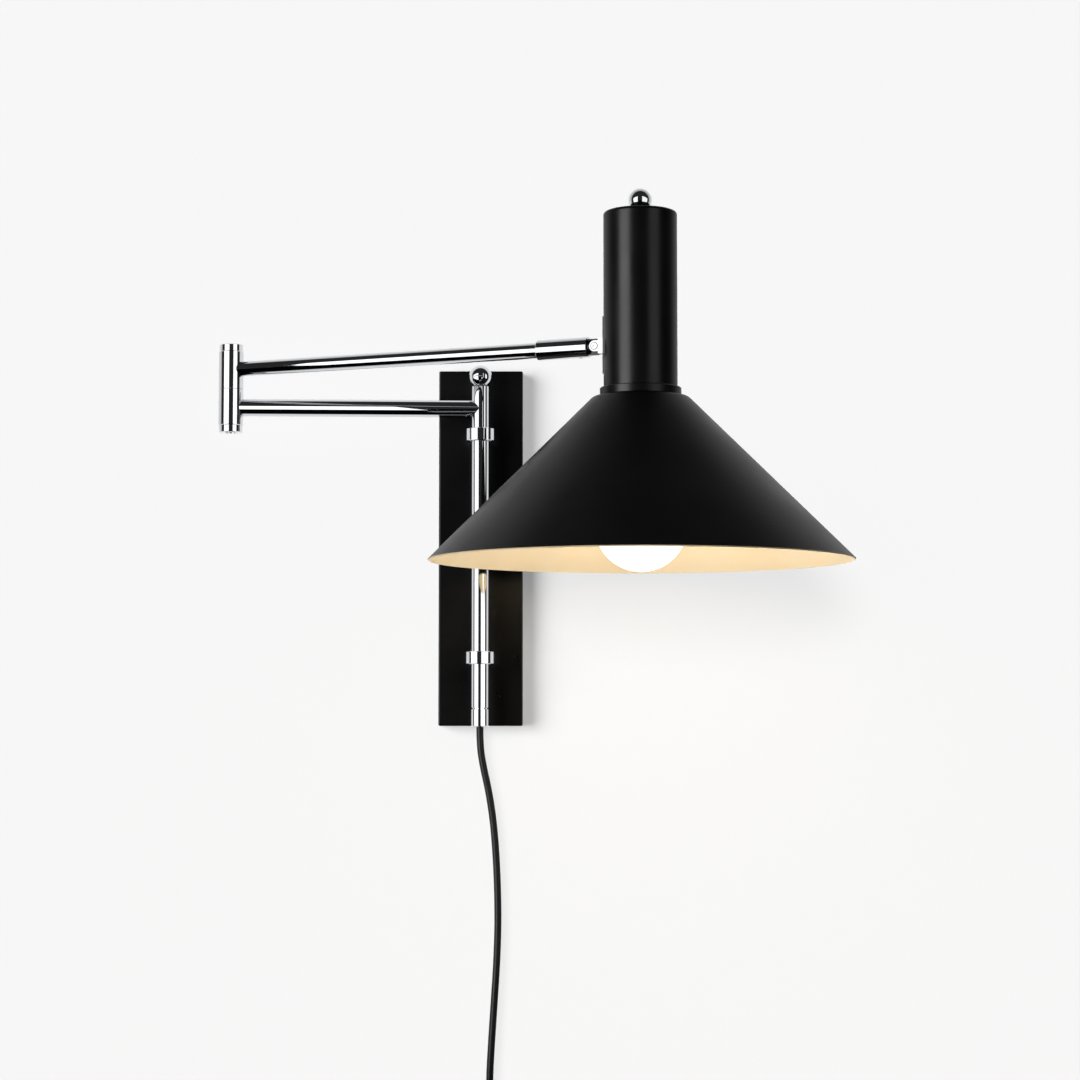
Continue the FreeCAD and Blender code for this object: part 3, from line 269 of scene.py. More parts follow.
@dataclass(frozen=True)
class Finish:
    """A surface finish that builds its material once."""

    name: str

    def material(self) -> bpy.types.Material:
        """The finish's material, made at its first use."""
        found = bpy.data.materials.get(self.name)
        if found:
            return found
        made = bpy.data.materials.new(self.name)
        made.use_nodes = True
        made.node_tree.nodes.clear()
        place = add_node(made.node_tree, "ShaderNodeTexCoord").outputs["Object"]
        surface = self.surface(made.node_tree, place)
        add_node(made.node_tree, "ShaderNodeOutputMaterial", Surface=surface)
        return made

    def surface(self, tree: Tree, place: Socket) -> Socket:
        """Builds the shader. Each finish has its own.

        Args:
            tree: The material's node tree.
            place: Object coordinates, in metres.

        Returns:
            The shader socket that the material shows.
        """
        raise NotImplementedError

    @staticmethod
    def grain(tree: Tree, place: Socket, size_mm: float, detail: float = 3.0,
              stretch: Point = (1.0, 1.0, 1.0)) -> Socket:
        """A noise pattern of a real size.

        Args:
            tree: The material's node tree.
            place: Object coordinates.
            size_mm: Size of one feature.
            detail: Octaves of finer noise.
            stretch: Scale along each axis, for drawn or polished surfaces.

        Returns:
            The noise's factor, from 0 to 1.
        """
        mapped = add_node(tree, "ShaderNodeMapping", Vector=place, Scale=stretch).outputs["Vector"]
        noise = add_node(tree, "ShaderNodeTexNoise", Vector=mapped, Scale=per_metre(size_mm), Detail=detail)
        return noise.outputs["Fac"]

    @staticmethod
    def spread(tree: Tree, factor: Socket, low: float, high: float) -> Socket:
        """Stretches the middle of a noise factor to a range of values.

        Args:
            tree: The material's node tree.
            factor: A noise factor, most of which lies from 0.3 to 0.7.
            low: Value where the factor is 0.3.
            high: Value where it is 0.7.

        Returns:
            The mapped value.
        """
        mapped = add_node(tree, "ShaderNodeMapRange", Value=factor, From_Min=0.3, From_Max=0.7,
                          To_Min=low, To_Max=high)
        return mapped.outputs["Result"]

    @staticmethod
    def bump(tree: Tree, height: Socket, depth_mm: float, strength: float = 1.0) -> Socket:
        """A bump of a real depth.

        Args:
            tree: The material's node tree.
            height: The height pattern, from 0 to 1.
            depth_mm: Depth from its lowest to its highest.
            strength: How much of it shows.

        Returns:
            The bumped normal.
        """
        node = add_node(tree, "ShaderNodeBump", Height=height, Strength=strength, Distance=depth_mm * MM)
        return node.outputs["Normal"]


@dataclass(frozen=True)
class ChromePlate(Finish):
    """Bright chrome over polished, nickel-plated brass: a blue-white mirror with a faint polishing wave."""

    name: str = "chrome_plate_polished"

    def surface(self, tree: Tree, place: Socket) -> Socket:
        """Mirror with hairline buffing marks 0.4 mm apart and 25 mm polishing waves."""
        haze = self.grain(tree, place, 9.0, 4.0)
        wave = self.grain(tree, place, 25.0, 1.0)
        marks = self.grain(tree, place, 0.4, 2.0, (1.0, 1.0, 0.15))
        height = add_node(tree, "ShaderNodeMath", {"operation": "MULTIPLY_ADD"}, i0=marks, i1=0.04, i2=wave)
        colour = ramp(tree, haze, [(0.3, "cacccf"), (0.7, "cfd0d2")])
        return add_node(
            tree, "ShaderNodeBsdfPrincipled", Base_Color=colour, Metallic=1.0,
            Roughness=self.spread(tree, haze, 0.028, 0.05),
            Normal=self.bump(tree, height.outputs[0], 0.02, 0.35),
        ).outputs["BSDF"]


@dataclass(frozen=True)
class ZincPlate(Finish):
    """Bright zinc on turned or pressed steel: a grey metal with tool marks and a slightly uneven sheen."""

    name: str = "zinc_plate_turned"

    def surface(self, tree: Tree, place: Socket) -> Socket:
        """Satin metal whose tool marks stand 0.3 mm apart."""
        cloud = self.grain(tree, place, 6.0, 5.0)
        marks = self.grain(tree, place, 0.3, 2.0, (0.2, 0.2, 1.0))
        colour = ramp(tree, cloud, [(0.3, "9b9ea1"), (0.7, "b9bbbc")])
        return add_node(
            tree, "ShaderNodeBsdfPrincipled", Base_Color=colour, Metallic=1.0,
            Roughness=self.spread(tree, cloud, 0.24, 0.4),
            Normal=self.bump(tree, marks, 0.02, 0.5),
        ).outputs["BSDF"]


@dataclass(frozen=True)
class PowderCoat(Finish):
    """Black polyester powder coat baked on steel: satin black with a fine orange peel."""

    name: str = "powder_coat_black_baked"
    peel_mm: float = 1.1
    gloss: float = 0.3
    shine: float = 0.34

    def surface(self, tree: Tree, place: Socket) -> Socket:
        """Orange peel 1.1 mm across over 0.15 mm grit, and a slow change of gloss."""
        peel = self.grain(tree, place, self.peel_mm, 1.0)
        grit = self.grain(tree, place, 0.15, 1.0)
        drift = self.grain(tree, place, 40.0, 3.0)
        height = add_node(tree, "ShaderNodeMath", {"operation": "MULTIPLY_ADD"}, i0=grit, i1=0.2, i2=peel)
        colour = ramp(tree, drift, [(0.3, "0a0a0b"), (0.7, "0e0e0f")])
        return add_node(
            tree, "ShaderNodeBsdfPrincipled", Base_Color=colour, Specular_IOR_Level=self.shine,
            Roughness=self.spread(tree, drift, self.gloss - 0.03, self.gloss + 0.04),
            Normal=self.bump(tree, height.outputs[0], 0.012, 0.6),
        ).outputs["BSDF"]


@dataclass(frozen=True)
class IvoryEnamel(Finish):
    """Ivory enamel sprayed inside the shade: warm, nearly matt, and pale enough to pass light down."""

    name: str = "enamel_ivory_sprayed"

    def surface(self, tree: Tree, place: Socket) -> Socket:
        """Spray mottle 0.8 mm across on a slow colour drift."""
        mottle = self.grain(tree, place, 0.8, 2.0)
        drift = self.grain(tree, place, 30.0, 3.0)
        colour = ramp(tree, drift, [(0.3, "f6e0b8"), (0.7, "f8e5c3")])
        return add_node(
            tree, "ShaderNodeBsdfPrincipled", Base_Color=colour,
            Roughness=self.spread(tree, drift, 0.42, 0.5),
            Normal=self.bump(tree, mottle, 0.01, 0.5),
        ).outputs["BSDF"]


@dataclass(frozen=True)
class OpalGlass(Finish):
    """Opal-coated lamp glass, lit from inside: an even warm white glow under a glassy skin."""

    name: str = "lamp_glass_opal_lit"
    glow: float = 1.7

    def surface(self, tree: Tree, place: Socket) -> Socket:
        """White coating with a faint 4 mm cloud, glowing."""
        cloud = self.grain(tree, place, 4.0, 2.0)
        colour = ramp(tree, cloud, [(0.3, "f6f1e8"), (0.7, "fffdf8")])
        return add_node(
            tree, "ShaderNodeBsdfPrincipled", Base_Color=colour, Roughness=0.3, IOR=1.5,
            Emission_Color=linear("fff3e2"), Emission_Strength=self.glow,
        ).outputs["BSDF"]


@dataclass(frozen=True)
class MouldedPlastic(Finish):
    """Injection-moulded or extruded plastic: an even colour with a spark-eroded mould grain."""

    name: str = "pvc_black_extruded"
    low: str = "0d0d0e"
    high: str = "151516"
    gloss: float = 0.42
    grain_mm: float = 0.25
    depth_mm: float = 0.01

    def surface(self, tree: Tree, place: Socket) -> Socket:
        """Mould grain over a slow colour drift."""
        drift = self.grain(tree, place, 12.0, 3.0)
        skin = self.grain(tree, place, self.grain_mm, 2.0)
        colour = ramp(tree, drift, [(0.3, self.low), (0.7, self.high)])
        return add_node(
            tree, "ShaderNodeBsdfPrincipled", Base_Color=colour, IOR=1.5,
            Roughness=self.spread(tree, drift, self.gloss - 0.04, self.gloss + 0.06),
            Normal=self.bump(tree, skin, self.depth_mm, 0.6),
        ).outputs["BSDF"]


@dataclass(frozen=True)
class HookTape(Finish):
    """Woven nylon hook-and-loop tape: matt black with rows of loops 1 mm apart."""

    name: str = "nylon_tape_woven"

    def surface(self, tree: Tree, place: Socket) -> Socket:
        """Loops as small cells, with the pale dust that such tape holds."""
        cells = add_node(tree, "ShaderNodeTexVoronoi", Vector=place, Scale=per_metre(1.0)).outputs["Distance"]
        colour = ramp(tree, cells, [(0.1, "26262a"), (0.7, "08080a")])
        return add_node(
            tree, "ShaderNodeBsdfPrincipled", Base_Color=colour, Roughness=0.9, Sheen_Weight=0.3,
            Normal=self.bump(tree, cells, 0.3, 0.8),
        ).outputs["BSDF"]


@dataclass(frozen=True)
class Brass(Finish):
    """Plain or nickel-plated brass, stamped: a warm or grey metal with drawing lines."""

    name: str = "brass_stamped"
    low: str = "a88a4c"
    high: str = "c7aa6a"

    def surface(self, tree: Tree, place: Socket) -> Socket:
        """Drawing lines 0.3 mm apart, and a slow tarnish."""
        tarnish = self.grain(tree, place, 5.0, 5.0)
        lines = self.grain(tree, place, 0.3, 1.0, (1.0, 1.0, 0.1))
        colour = ramp(tree, tarnish, [(0.3, self.low), (0.7, self.high)])
        return add_node(
            tree, "ShaderNodeBsdfPrincipled", Base_Color=colour, Metallic=1.0,
            Roughness=self.spread(tree, tarnish, 0.2, 0.36),
            Normal=self.bump(tree, lines, 0.015, 0.5),
        ).outputs["BSDF"]


CHROME = ChromePlate()
ZINC = ZincPlate()
BLACK = PowderCoat()
IVORY = IvoryEnamel()
OPAL = OpalGlass()
PVC = MouldedPlastic()
PLUG_PVC = MouldedPlastic("pvc_black_moulded", gloss=0.5, grain_mm=0.5, depth_mm=0.03)
SHEATH = MouldedPlastic("pvc_grey_sheath", "17171a", "1e1e21", 0.5)
NYLON = MouldedPlastic("nylon_natural_moulded", "dedad0", "e9e6dd", 0.45, 0.6)
PHENOLIC = MouldedPlastic("phenolic_black_moulded", "100e0d", "1a1715", 0.3, 0.8)
TAPE = HookTape()
BRASS = Brass()
NICKEL = Brass("brass_nickel_plated", "a9a7a1", "c2c0ba")


# ---- studio ----


# The chrome nodes in groups: each group mirrors panels of its own, so that each tube shows its own bands.
LOWER_ARM_BRIGHT = ("lower_arm_tube",)
UPPER_ARM_BRIGHT = ("upper_arm_tube", "arm_end_sleeve", "hinge_fork", "tilt_screw", "tilt_nut")
ELBOW_BRIGHT = ("lower_elbow_barrel", "upper_elbow_barrel", "lower_elbow_cap", "upper_elbow_cap",
                "lower_elbow_cap_screw")
POST_BRIGHT = ("post_tube", "post_ferrule", "upper_collar", "lower_collar", "post_ball")
SWITCH_BRIGHT = ("switch_ball",)


@dataclass(frozen=True)
class Softbox:
    """A flat bright panel in front of the lamp, seen only in what it lights.

    Args:
        name: Name of the light.
        centre: Middle of the panel, in metres.
        target: The point that it faces.
        size: Its width and height.
        radiance: Brightness of its face, where 1 is a white page.
        roll_deg: Its lean about the line to the target.
        lights: Names of the only nodes that it lights, or none for all of its finish.
    """

    name: str
    centre: Point
    target: Point
    size: tuple[float, float]
    radiance: float
    roll_deg: float = 0.0
    lights: tuple[str, ...] = ()
    standoff: ClassVar[float] = 0.50

    @classmethod
    def upright(cls, name: str, across: tuple[float, float], rise: tuple[float, float], radiance: float,
                lights: tuple[str, ...], roll_deg: float = 0.0) -> "Softbox":
        """A panel half a metre out from the wall, facing it.

        Args:
            name: Name of the light.
            across: Its left and right edges, in metres.
            rise: Its bottom and top edges.
            radiance: Brightness of its face.
            lights: Names of the nodes that it lights.
            roll_deg: Its lean.

        Returns:
            The softbox.
        """
        middle, height = sum(across) / 2, sum(rise) / 2
        size = across[1] - across[0], rise[1] - rise[0]
        centre, target = (middle, -cls.standoff, height), (middle, 0.0, height)
        return cls(name, centre, target, size, radiance, roll_deg, lights)

    def build(self) -> Piece:
        """Makes the light and hides its panel from the camera."""
        data = bpy.data.lights.new(self.name, "AREA")
        data.shape = "RECTANGLE"
        data.size, data.size_y = self.size
        data.energy = self.radiance * math.pi * self.size[0] * self.size[1]
        light = bpy.data.objects.new(self.name, data)
        light.location = self.centre
        aim = Vector(self.target) - Vector(self.centre)
        level = aim.to_track_quat("-Z", "Y").to_matrix()
        light.rotation_euler = (level @ Matrix.Rotation(math.radians(self.roll_deg), 3, "Z")).to_euler()
        light.visible_camera = False
        bpy.context.scene.collection.objects.link(light)
        return light


@dataclass
class Sunlight:
    """A broad light that falls on the wall from the left.

    Args:
        name: Name of the light.
        turn_deg: How far to the left of square it comes from.
        drop_deg: How far above level it comes from.
        spread_deg: How wide it is.
        energy: Its strength.
        shading: Names of the only pieces that shade it.
    """

    name: str
    turn_deg: float
    drop_deg: float
    spread_deg: float
    energy: float
    shading: tuple[str, ...]

    def build(self) -> Piece:
        """Makes the light and aims it."""
        data = bpy.data.lights.new(self.name, "SUN")
        data.energy = self.energy
        data.angle = math.radians(self.spread_deg)
        made = bpy.data.objects.new(self.name, data)
        turned, drop = math.radians(self.turn_deg), math.radians(self.drop_deg)
        aim = Vector((math.sin(turned), math.cos(turned), -math.tan(drop)))
        made.rotation_euler = aim.to_track_quat("-Z", "Y").to_euler()
        bpy.context.scene.collection.objects.link(made)
        return made


@dataclass
class Studio:
    """The wall, the floor, the lights and the camera round the lamp."""

    camera_at: Point = (0.0423, -1.794, -0.124)
    camera_lift_deg: float = 4.16
    lens_mm: float = 83.3
    sensor_mm: float = 36.0
    floor_level: float = -1.35
    half_room: float = 9.0
    wall_gap: float = 0.0004
    wall_paint: str = "6c6c6c"
    wall_glow: float = 0.285
    # What the lamp mirrors of the wall: brightest round wall_near, which is in the wall's own coordinates.
    wall_near: Point = (0.05, 0.05, 0.0)
    wall_near_glow: float = 0.5
    wall_far_glow: float = 0.05
    wall_fade: tuple[float, float] = (0.15, 0.75)
    lamp_watts: float = 0.78
    lamp_radius: float = 0.024
    bulb_radius: float = 0.030
    chrome_boxes: tuple[Softbox, ...] = (
        Softbox.upright("lower_arm_left", (-0.76, -0.03), (-0.15, 0.20), 2.0, LOWER_ARM_BRIGHT, 5.0),
        Softbox.upright("upper_arm_left", (-0.67, -0.06), (-0.16, 0.34), 2.0, UPPER_ARM_BRIGHT),
        Softbox.upright("elbow_left", (-1.0, -0.28), (-0.24, 0.42), 2.0, ELBOW_BRIGHT),
        Softbox.upright("elbow_right", (0.06, 1.2), (-0.24, 0.42), 1.9, ELBOW_BRIGHT),
        Softbox.upright("post_left", (-1.7, -0.19), (-0.24, 0.42), 2.0, POST_BRIGHT),
        Softbox.upright("post_right_low", (0.10, 1.15), (-0.24, 0.0), 1.9, POST_BRIGHT),
        Softbox.upright("post_right_high", (0.25, 1.15), (0.0, 0.42), 1.45, POST_BRIGHT),
        Softbox.upright("switch_left", (-0.76, -0.06), (-0.16, 0.42), 2.0, SWITCH_BRIGHT),
        Softbox.upright("switch_right", (0.22, 1.15), (-0.16, 0.42), 1.45, SWITCH_BRIGHT),
        Softbox("chrome_wall", (0.0, -0.0002, 0.0), (0.0, -1.0, 0.0), (6.0, 6.0), 0.56),
    )
    black_boxes: tuple[Softbox, ...] = (
        Softbox("black_left", (-1.12, -1.10, 0.05), (0.05, -0.1, 0.05), (0.92, 1.3), 4.9),
        Softbox("black_right", (0.90, -1.06, 0.15), (0.1, -0.1, 0.10), (0.68, 1.1), 0.95),
    )
    suns: tuple[Sunlight, ...] = (
        Sunlight("wall_sun", 45.0, 4.5, 42.0, 15.1, ("plate_cover", "upper_collar", "lower_collar")),
        Sunlight("shade_sun", 7.0, 7.0, 14.0, 2.9, ("shade_cone", "mains_lead")),
    )

    def camera(self) -> Piece:
        """Places the camera, level with the plate's foot and tilted up a little."""
        data = bpy.data.cameras.new("camera")
        data.lens = self.lens_mm
        data.sensor_width = self.sensor_mm
        data.clip_start, data.clip_end = 0.01, 50.0
        camera = bpy.data.objects.new("camera", data)
        camera.location = self.camera_at
        camera.rotation_euler = (math.radians(90.0 + self.camera_lift_deg), 0.0, 0.0)
        bpy.context.scene.collection.objects.link(camera)
        bpy.context.scene.camera = camera
        return camera

    def plane(self, name: str, centre: Point, tilt_deg: float) -> Piece:
        """A big flat stage piece.

        Args:
            name: Name of the piece.
            centre: Its middle, in metres.
            tilt_deg: Its turn about X, from lying flat face up.

        Returns:
            The piece, marked as stage.
        """
        piece = begin(name, bpy.ops.mesh.primitive_plane_add, size=2 * self.half_room, location=centre,
                      rotation=(math.radians(tilt_deg), 0.0, 0.0))
        piece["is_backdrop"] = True
        return piece

    def wall_material(self) -> bpy.types.Material:
        """White painted wall that glows a little for an even tone, and is clear from behind."""
        made = bpy.data.materials.new("wall_paint_white")
        made.use_nodes = True
        tree = made.node_tree
        tree.nodes.clear()
        place = add_node(tree, "ShaderNodeTexCoord").outputs["Object"]
        roller = Finish.bump(tree, Finish.grain(tree, place, 2.0, 2.0), 0.02, 0.3)
        paint_coat = add_node(tree, "ShaderNodeBsdfDiffuse", Color=linear(self.wall_paint), Normal=roller)
        glow = add_node(tree, "ShaderNodeEmission", Color=linear("ffffff"), Strength=self.wall_glow)
        lit = add_node(tree, "ShaderNodeAddShader", i0=paint_coat.outputs[0], i1=glow.outputs[0]).outputs[0]
        clear = add_node(tree, "ShaderNodeBsdfTransparent").outputs[0]
        behind = add_node(tree, "ShaderNodeNewGeometry").outputs["Backfacing"]
        away = add_node(tree, "ShaderNodeVectorMath", {"operation": "DISTANCE"}, i0=place, i1=self.wall_near)
        fade = add_node(tree, "ShaderNodeMapRange", {"interpolation_type": "SMOOTHSTEP"},
                        Value=away.outputs["Value"], From_Min=self.wall_fade[0], From_Max=self.wall_fade[1],
                        To_Min=self.wall_near_glow, To_Max=self.wall_far_glow)
        dim = add_node(tree, "ShaderNodeEmission", Color=linear("ffffff"), Strength=fade.outputs["Result"])
        direct = add_node(tree, "ShaderNodeLightPath").outputs["Is Camera Ray"]
        seen = add_node(tree, "ShaderNodeMixShader", Fac=direct, i1=dim.outputs[0], i2=lit).outputs[0]
        mixed = add_node(tree, "ShaderNodeMixShader", Fac=behind, i1=seen, i2=clear).outputs[0]
        add_node(tree, "ShaderNodeOutputMaterial", Surface=mixed)
        return made

    def floor_material(self) -> bpy.types.Material:
        """Plain pale floor."""
        made = bpy.data.materials.new("floor_paint_pale")
        made.use_nodes = True
        tree = made.node_tree
        tree.nodes.clear()
        coat = add_node(tree, "ShaderNodeBsdfDiffuse", Color=linear("2c2c2c")).outputs[0]
        glow = add_node(tree, "ShaderNodeEmission", Color=linear("f0f0ee"), Strength=0.85).outputs[0]
        direct = add_node(tree, "ShaderNodeLightPath").outputs["Is Camera Ray"]
        lit = add_node(tree, "ShaderNodeMixShader", Fac=direct, i1=coat, i2=glow).outputs[0]
        add_node(tree, "ShaderNodeOutputMaterial", Surface=lit)
        return made

    def world(self) -> None:
        """A dim room for the chrome to reflect, with a pale backdrop for the camera."""
        made = bpy.data.worlds.new("studio_air")
        made.use_nodes = True
        tree = made.node_tree
        tree.nodes.clear()
        room = add_node(tree, "ShaderNodeBackground", Color=linear("ffffff"), Strength=0.03).outputs[0]
        seen = add_node(tree, "ShaderNodeBackground", Color=linear("f4f4f4"), Strength=0.9).outputs[0]
        direct = add_node(tree, "ShaderNodeLightPath").outputs["Is Camera Ray"]
        mixed = add_node(tree, "ShaderNodeMixShader", Fac=direct, i1=room, i2=seen).outputs[0]
        add_node(tree, "ShaderNodeOutputWorld", Surface=mixed)
        bpy.context.scene.world = made

    def named(self, names: Iterable[str]) -> list[Piece]:
        """The CAD nodes and new pieces of these names."""
        return [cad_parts.get(name) or bpy.data.objects[name] for name in names]

    def link_light(self, light: Piece, name: str, lit: Iterable[Piece] = (), skipped: Iterable[Piece] = (),
                   shading: Iterable[Piece] = ()) -> None:
        """Limits what a light reaches and what shades it.

        Args:
            light: The light.
            name: Name of its collections.
            lit: The only objects that it lights, or none for all.
            skipped: Objects that it doesn't light.
            shading: The only objects that cast its shadows, or none for all.
        """
        reached = bpy.data.collections.new(f"{name}_reach")
        for piece in (*lit, *skipped):
            reached.objects.link(piece)
        for entry in reached.collection_objects:
            entry.light_linking.link_state = "EXCLUDE" if skipped else "INCLUDE"
        light.light_linking.receiver_collection = reached
        if shading:
            shades = bpy.data.collections.new(f"{name}_shades")
            for piece in shading:
                shades.objects.link(piece)
            light.light_linking.blocker_collection = shades

    def lamp(self, wall: Piece, floor: Piece) -> None:
        """The light in the bulb, which reaches the shade alone.

        Args:
            wall: The wall.
            floor: The floor.
        """
        glow = bpy.data.lights.new("lamp_light", "POINT")
        glow.energy = self.lamp_watts
        glow.color = linear("fffaf0")[:3]
        glow.shadow_soft_size = self.lamp_radius
        lamp = bpy.data.objects.new("lamp_light", glow)
        low, high = (Vector(corner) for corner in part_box("bulb_globe"))
        lamp.location = ((low.x + high.x) / 2, (low.y + high.y) / 2, low.z + self.bulb_radius)
        lamp.visible_camera = False
        bpy.context.scene.collection.objects.link(lamp)
        shades = [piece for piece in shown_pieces() if piece.name != "bulb_globe"]
        self.link_light(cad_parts["bulb_globe"], "bulb_globe", skipped=(wall, floor))
        self.link_light(lamp, "lamp_light", lit=self.named(["shade_cone"]), shading=shades)

    def build(self) -> None:
        """Builds the room and its lights."""
        bpy.context.scene.view_settings.view_transform = "Standard"
        bpy.context.scene.view_settings.look = "None"
        wall = self.plane("stage_wall", (0.0, self.wall_gap, 0.0), 90.0)
        wall.data.materials.append(self.wall_material())
        floor = self.plane("stage_floor", (0.0, 0.0, self.floor_level), 0.0)
        floor.data.materials.append(self.floor_material())
        self.world()
        nodes = list(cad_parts.values())
        lead = [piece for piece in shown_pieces() if piece not in nodes]
        bright = [node for node in nodes if node.material_slots[0].material == CHROME.material()]
        others = [node for node in nodes if node not in bright] + lead
        for box in self.chrome_boxes:
            if box.lights:
                self.link_light(box.build(), box.name, lit=self.named(box.lights))
            else:
                self.link_light(box.build(), box.name, skipped=(wall, floor, *others))
        for box in self.black_boxes:
            self.link_light(box.build(), box.name, skipped=(wall, floor, *bright))
        self.lamp(wall, floor)
        for sun in self.suns:
            self.link_light(sun.build(), sun.name, lit=(wall,), shading=self.named(sun.shading))
        panels = len(self.chrome_boxes) + len(self.black_boxes)
        LOG.info("studio: wall, floor, %d softboxes and %d suns", panels, len(self.suns))


# ---- mains lead ----


@dataclass
class MainsLead:
    """The round black lead: out of the post's foot, down, and put away in a tied coil, with its plug.

    The lead is 5 mm across and 1.8 m long. Route points are in millimetres from the post's axis.
    """

    exit: Point = (0.0, -0.030, -0.1276)
    diameter_mm: float = 5.0
    length_m: float = 1.8
    route: tuple[Point, ...] = (
        (0, 0, -127.6), (0, 0, -141), (2.5, 0.4, -156), (6.4, 0.9, -173), (9.6, 1.4, -194),
        (11.5, 1.5, -217), (12.7, 1.1, -243), (12.9, 0.6, -270), (11.8, 0.1, -297),
        (10, -0.2, -324), (8.3, -0.3, -350), (7, 0.2, -374), (8, 2.4, -392),
    )
    coil_drop: float = -440.0
    places: tuple[tuple[float, float], ...] = (
        (33, 5), (33, 0), (28, 0), (28, 5), (23, 5), (23, 0), (23, -5), (28, -5), (33, -5),
    )
    first_deg: float = 26.0
    last_deg: float = 90.0
    points_per_turn: int = 16
    crossing_deg: float = 50.0
    crossing_step_deg: float = 20.0
    crossing_from_deg: float = 150.0
    tail: tuple[Point, ...] = (
        (33.1, -4.8, -449), (31.6, -3.4, -458.5), (29.2, -1.0, -467), (28.25, 0, -476), (28.25, 0, -484),
    )

    def place_at(self, travelled_deg: float) -> tuple[float, float]:
        """Radius and depth of the winding after a turn through this many degrees.

        Args:
            travelled_deg: Angle from straight up, clockwise, counting whole turns.

        Returns:
            Radius and depth in the coil, in millimetres.
        """
        lap = min(int((travelled_deg - self.first_deg + 0.001) // 360), len(self.places) - 1)
        radius, depth = self.places[lap]
        if lap == len(self.places) - 1:
            return radius, depth
        opens = self.crossing_from_deg + (len(self.places) - 2 - lap) * self.crossing_step_deg
        share = min(max((travelled_deg - 360 * lap - opens) / self.crossing_deg, 0.0), 1.0)
        eased = share * share * (3 - 2 * share)
        next_radius, next_depth = self.places[lap + 1]
        return radius + (next_radius - radius) * eased, depth + (next_depth - depth) * eased

    def windings(self) -> list[Point]:
        """Control points of the coil's turns, from where the lead enters it to where it leaves."""
        step = 360 / self.points_per_turn
        widen = 1 / math.cos(math.radians(step / 2))
        whole = 360 * (len(self.places) - 1)
        count = round((whole + self.last_deg - self.first_deg) / step)
        points = []
        for index in range(count + 1):
            angle = self.first_deg + (whole + self.last_deg - self.first_deg) * index / count
            radius, depth = self.place_at(angle)
            across = radius * widen * math.sin(math.radians(angle))
            up = radius * widen * math.cos(math.radians(angle))
            points.append((across, depth, self.coil_drop + up))
        return points

    def points(self) -> list[Vector]:
        """The lead's control points in metres, from the post's foot to the plug."""
        run = (*self.route, *self.windings(), *self.tail)
        return [metres(x, y, z) + Vector((self.exit[0], self.exit[1], 0.0)) for x, y, z in run]

    def spline(self) -> Piece:
        """The lead as one smooth round curve."""
        data = bpy.data.curves.new("mains_lead", "CURVE")
        data.dimensions = "3D"
        data.bevel_depth = self.diameter_mm * MM / 2
        data.bevel_resolution = 5
        data.resolution_u = 6
        data.use_fill_caps = True
        line = data.splines.new("NURBS")
        run = self.points()
        line.points.add(len(run) - 1)
        for point, at in zip(line.points, run):
            point.co = (*at, 1.0)
        line.order_u = 3
        line.use_endpoint_u = True
        lead = bpy.data.objects.new("mains_lead", data)
        bpy.context.scene.collection.objects.link(lead)
        return lead

    def build(self) -> None:
        lead = paint(self.spline(), PVC)
        hand_in(lead, Body.POST, "black_rubber", "power_cord", "cord_coil")
        dress(PLUG_PVC, "plug_body", "cord_gland")
        dress(TAPE, "cord_tie")
        dress(BRASS, "plug_blades")


# ---- wall plate and post ----


@dataclass
class WallPlate:
    """The narrow black plate with its bracket, screws and the two collars that carry the post."""

    def build(self) -> None:
        """Dresses the plate, its bracket and the collars."""
        dress(BLACK, "plate_cover", "cover_screws")
        dress(ZINC, "wall_bracket", "collar_washers", "collar_nuts", "collar_set_screws")
        dress(CHROME, "upper_collar", "lower_collar")
        dress(NYLON, "lower_collar_liner", "upper_collar_liner")


@dataclass
class PostArm:
    """The turning post with its ball and ferrule, and the lower arm out to the elbow."""

    def build(self) -> None:
        """Dresses the post, the lower arm and the elbow's lower half."""
        dress(CHROME, "post_tube", "post_ball", "post_ferrule", "lower_arm_tube", "lower_elbow_barrel",
              "lower_elbow_cap", "lower_elbow_cap_screw")
        dress(ZINC, "post_top_plug", "elbow_pivot_shaft", "elbow_lock_nut")
        dress(SHEATH, "post_lead")


@dataclass
class UpperArm:
    """The upper arm from the elbow to the swivel sleeve and the knuckle in its end."""

    def build(self) -> None:
        """Dresses the arm, the elbow's upper half and the swivel."""
        dress(CHROME, "upper_elbow_barrel", "upper_elbow_cap", "upper_arm_tube", "arm_end_sleeve")
        dress(BLACK, "hinge_knuckle")
        dress(ZINC, "elbow_spring_washer", "arm_end_spigot", "swivel_lock_nut", "sleeve_set_screws",
              "swivel_spring_washer")
        dress(NYLON, "elbow_bush", "elbow_thrust_washer")
        dress(SHEATH, "arm_lead")


# ---- head ----


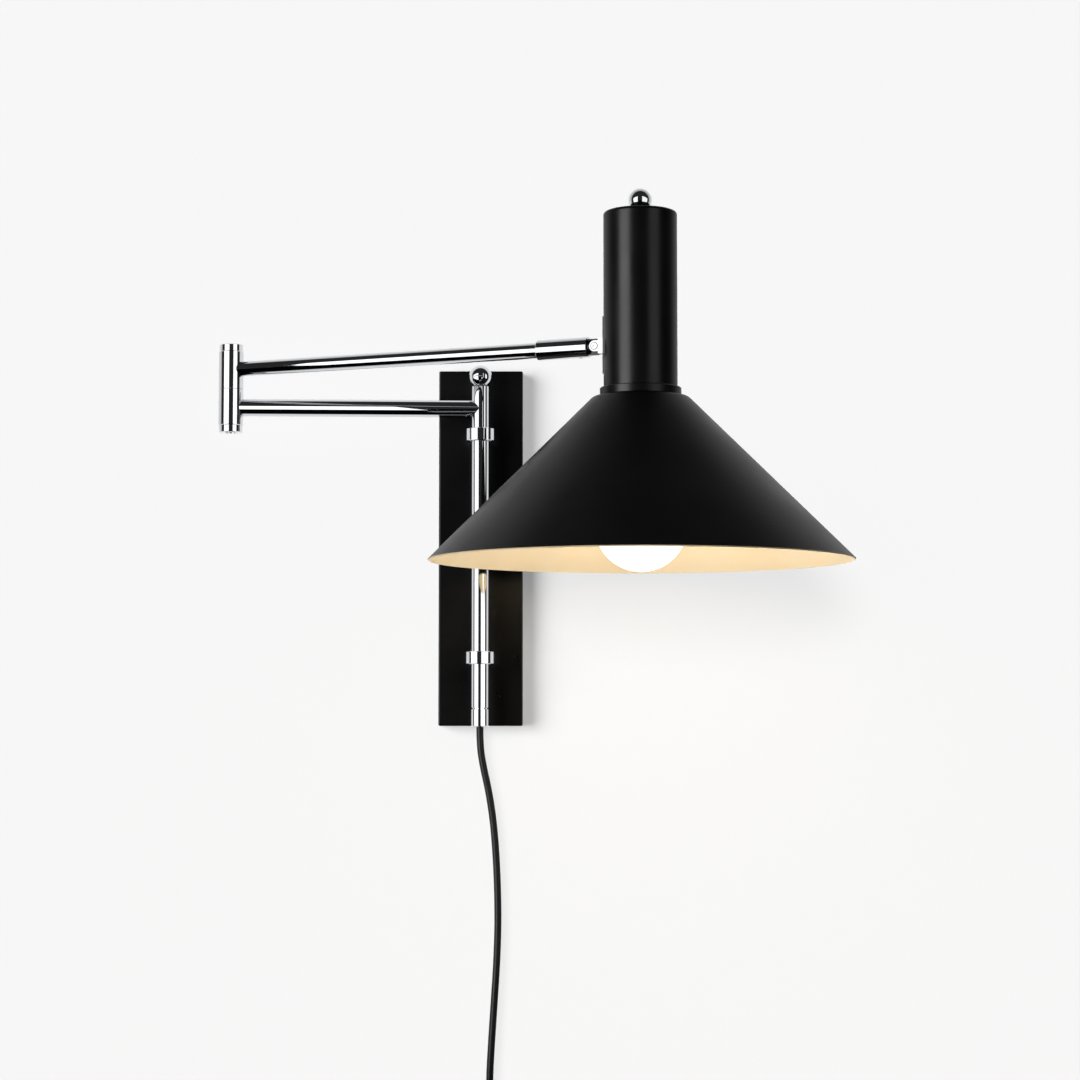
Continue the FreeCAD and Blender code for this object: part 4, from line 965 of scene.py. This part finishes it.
@dataclass
class Shade:
    """The spun steel cone: black outside, ivory inside, with a plain trimmed edge.

    Sizes are in millimetres. Heights are in the frame, on the head's axis.
    """

    top: float = 89.8
    rim: float = -18.0
    mouth: float = 19.05
    shoulder: float = 31.2
    radius: float = 140.0
    wall: float = 1.0
    round: float = 6.0
    round_steps: int = 10
    steps: int = 192

    def outline(self) -> list[tuple[float, float]]:
        """Outer face from the mouth, over the rounded shoulder, to the edge."""
        foot = (self.radius, self.rim)
        slope = math.atan2(self.top - foot[1], foot[0] - self.shoulder)
        setback = self.round * math.tan(slope / 2)
        centre = (self.shoulder - setback, self.top - self.round)
        arc = []
        for index in range(self.round_steps + 1):
            lean = slope * index / self.round_steps
            arc.append((centre[0] + self.round * math.sin(lean), centre[1] + self.round * math.cos(lean)))
        return [(self.mouth, self.top), *arc, foot]

    def build(self, axis: Vector) -> None:
        """Spins the cone and gives it its wall and both finishes.

        Args:
            axis: A point on the head's upright axis, in metres.
        """
        cone = turn("shade_cone", self.outline(), axis, self.steps)
        wall = cone.modifiers.new("wall", "SOLIDIFY")
        wall.thickness = self.wall * MM
        wall.offset = -1.0
        wall.material_offset = 1
        wall.material_offset_rim = 1
        paint(cone, BLACK, IVORY)
        settle(cone, 40.0)
        hand_in(cone, Body.HEAD, "black_powder_coat", "shade")


@dataclass
class LampHead:
    """The neck with its strap and fork, the shade, the lamp holder and bulb, and the switch ball."""

    shade: Shade = field(default_factory=Shade)

    def build(self) -> None:
        """Dresses the head and builds its shade."""
        low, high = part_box("shade_collar")
        axis = (Vector(low) + Vector(high)) / 2
        dress(BLACK, "neck_shell", "shade_collar", "saddle_strap", "saddle_screws")
        dress(CHROME, "hinge_fork", "tilt_screw", "tilt_nut", "switch_ball")
        dress(ZINC, "fork_nut", "saddle_nuts", "shade_lock_ring", "switch_spindle")
        dress(PHENOLIC, "lamp_socket", "switch_body")
        dress(BRASS, "socket_screw_shell", "socket_contact")
        dress(OPAL, "bulb_globe")
        dress(NICKEL, "bulb_base", "bulb_contact")
        self.shade.build(axis)


def main() -> None:
    """Builds the lamp's looks, camera and lead first."""
    logging.basicConfig(level=logging.INFO, format="%(name)s: %(message)s")
    studio = Studio()
    studio.camera()
    MainsLead().build()
    WallPlate().build()
    PostArm().build()
    UpperArm().build()
    LampHead().build()
    studio.build()


if __name__ == "__main__":
    main()
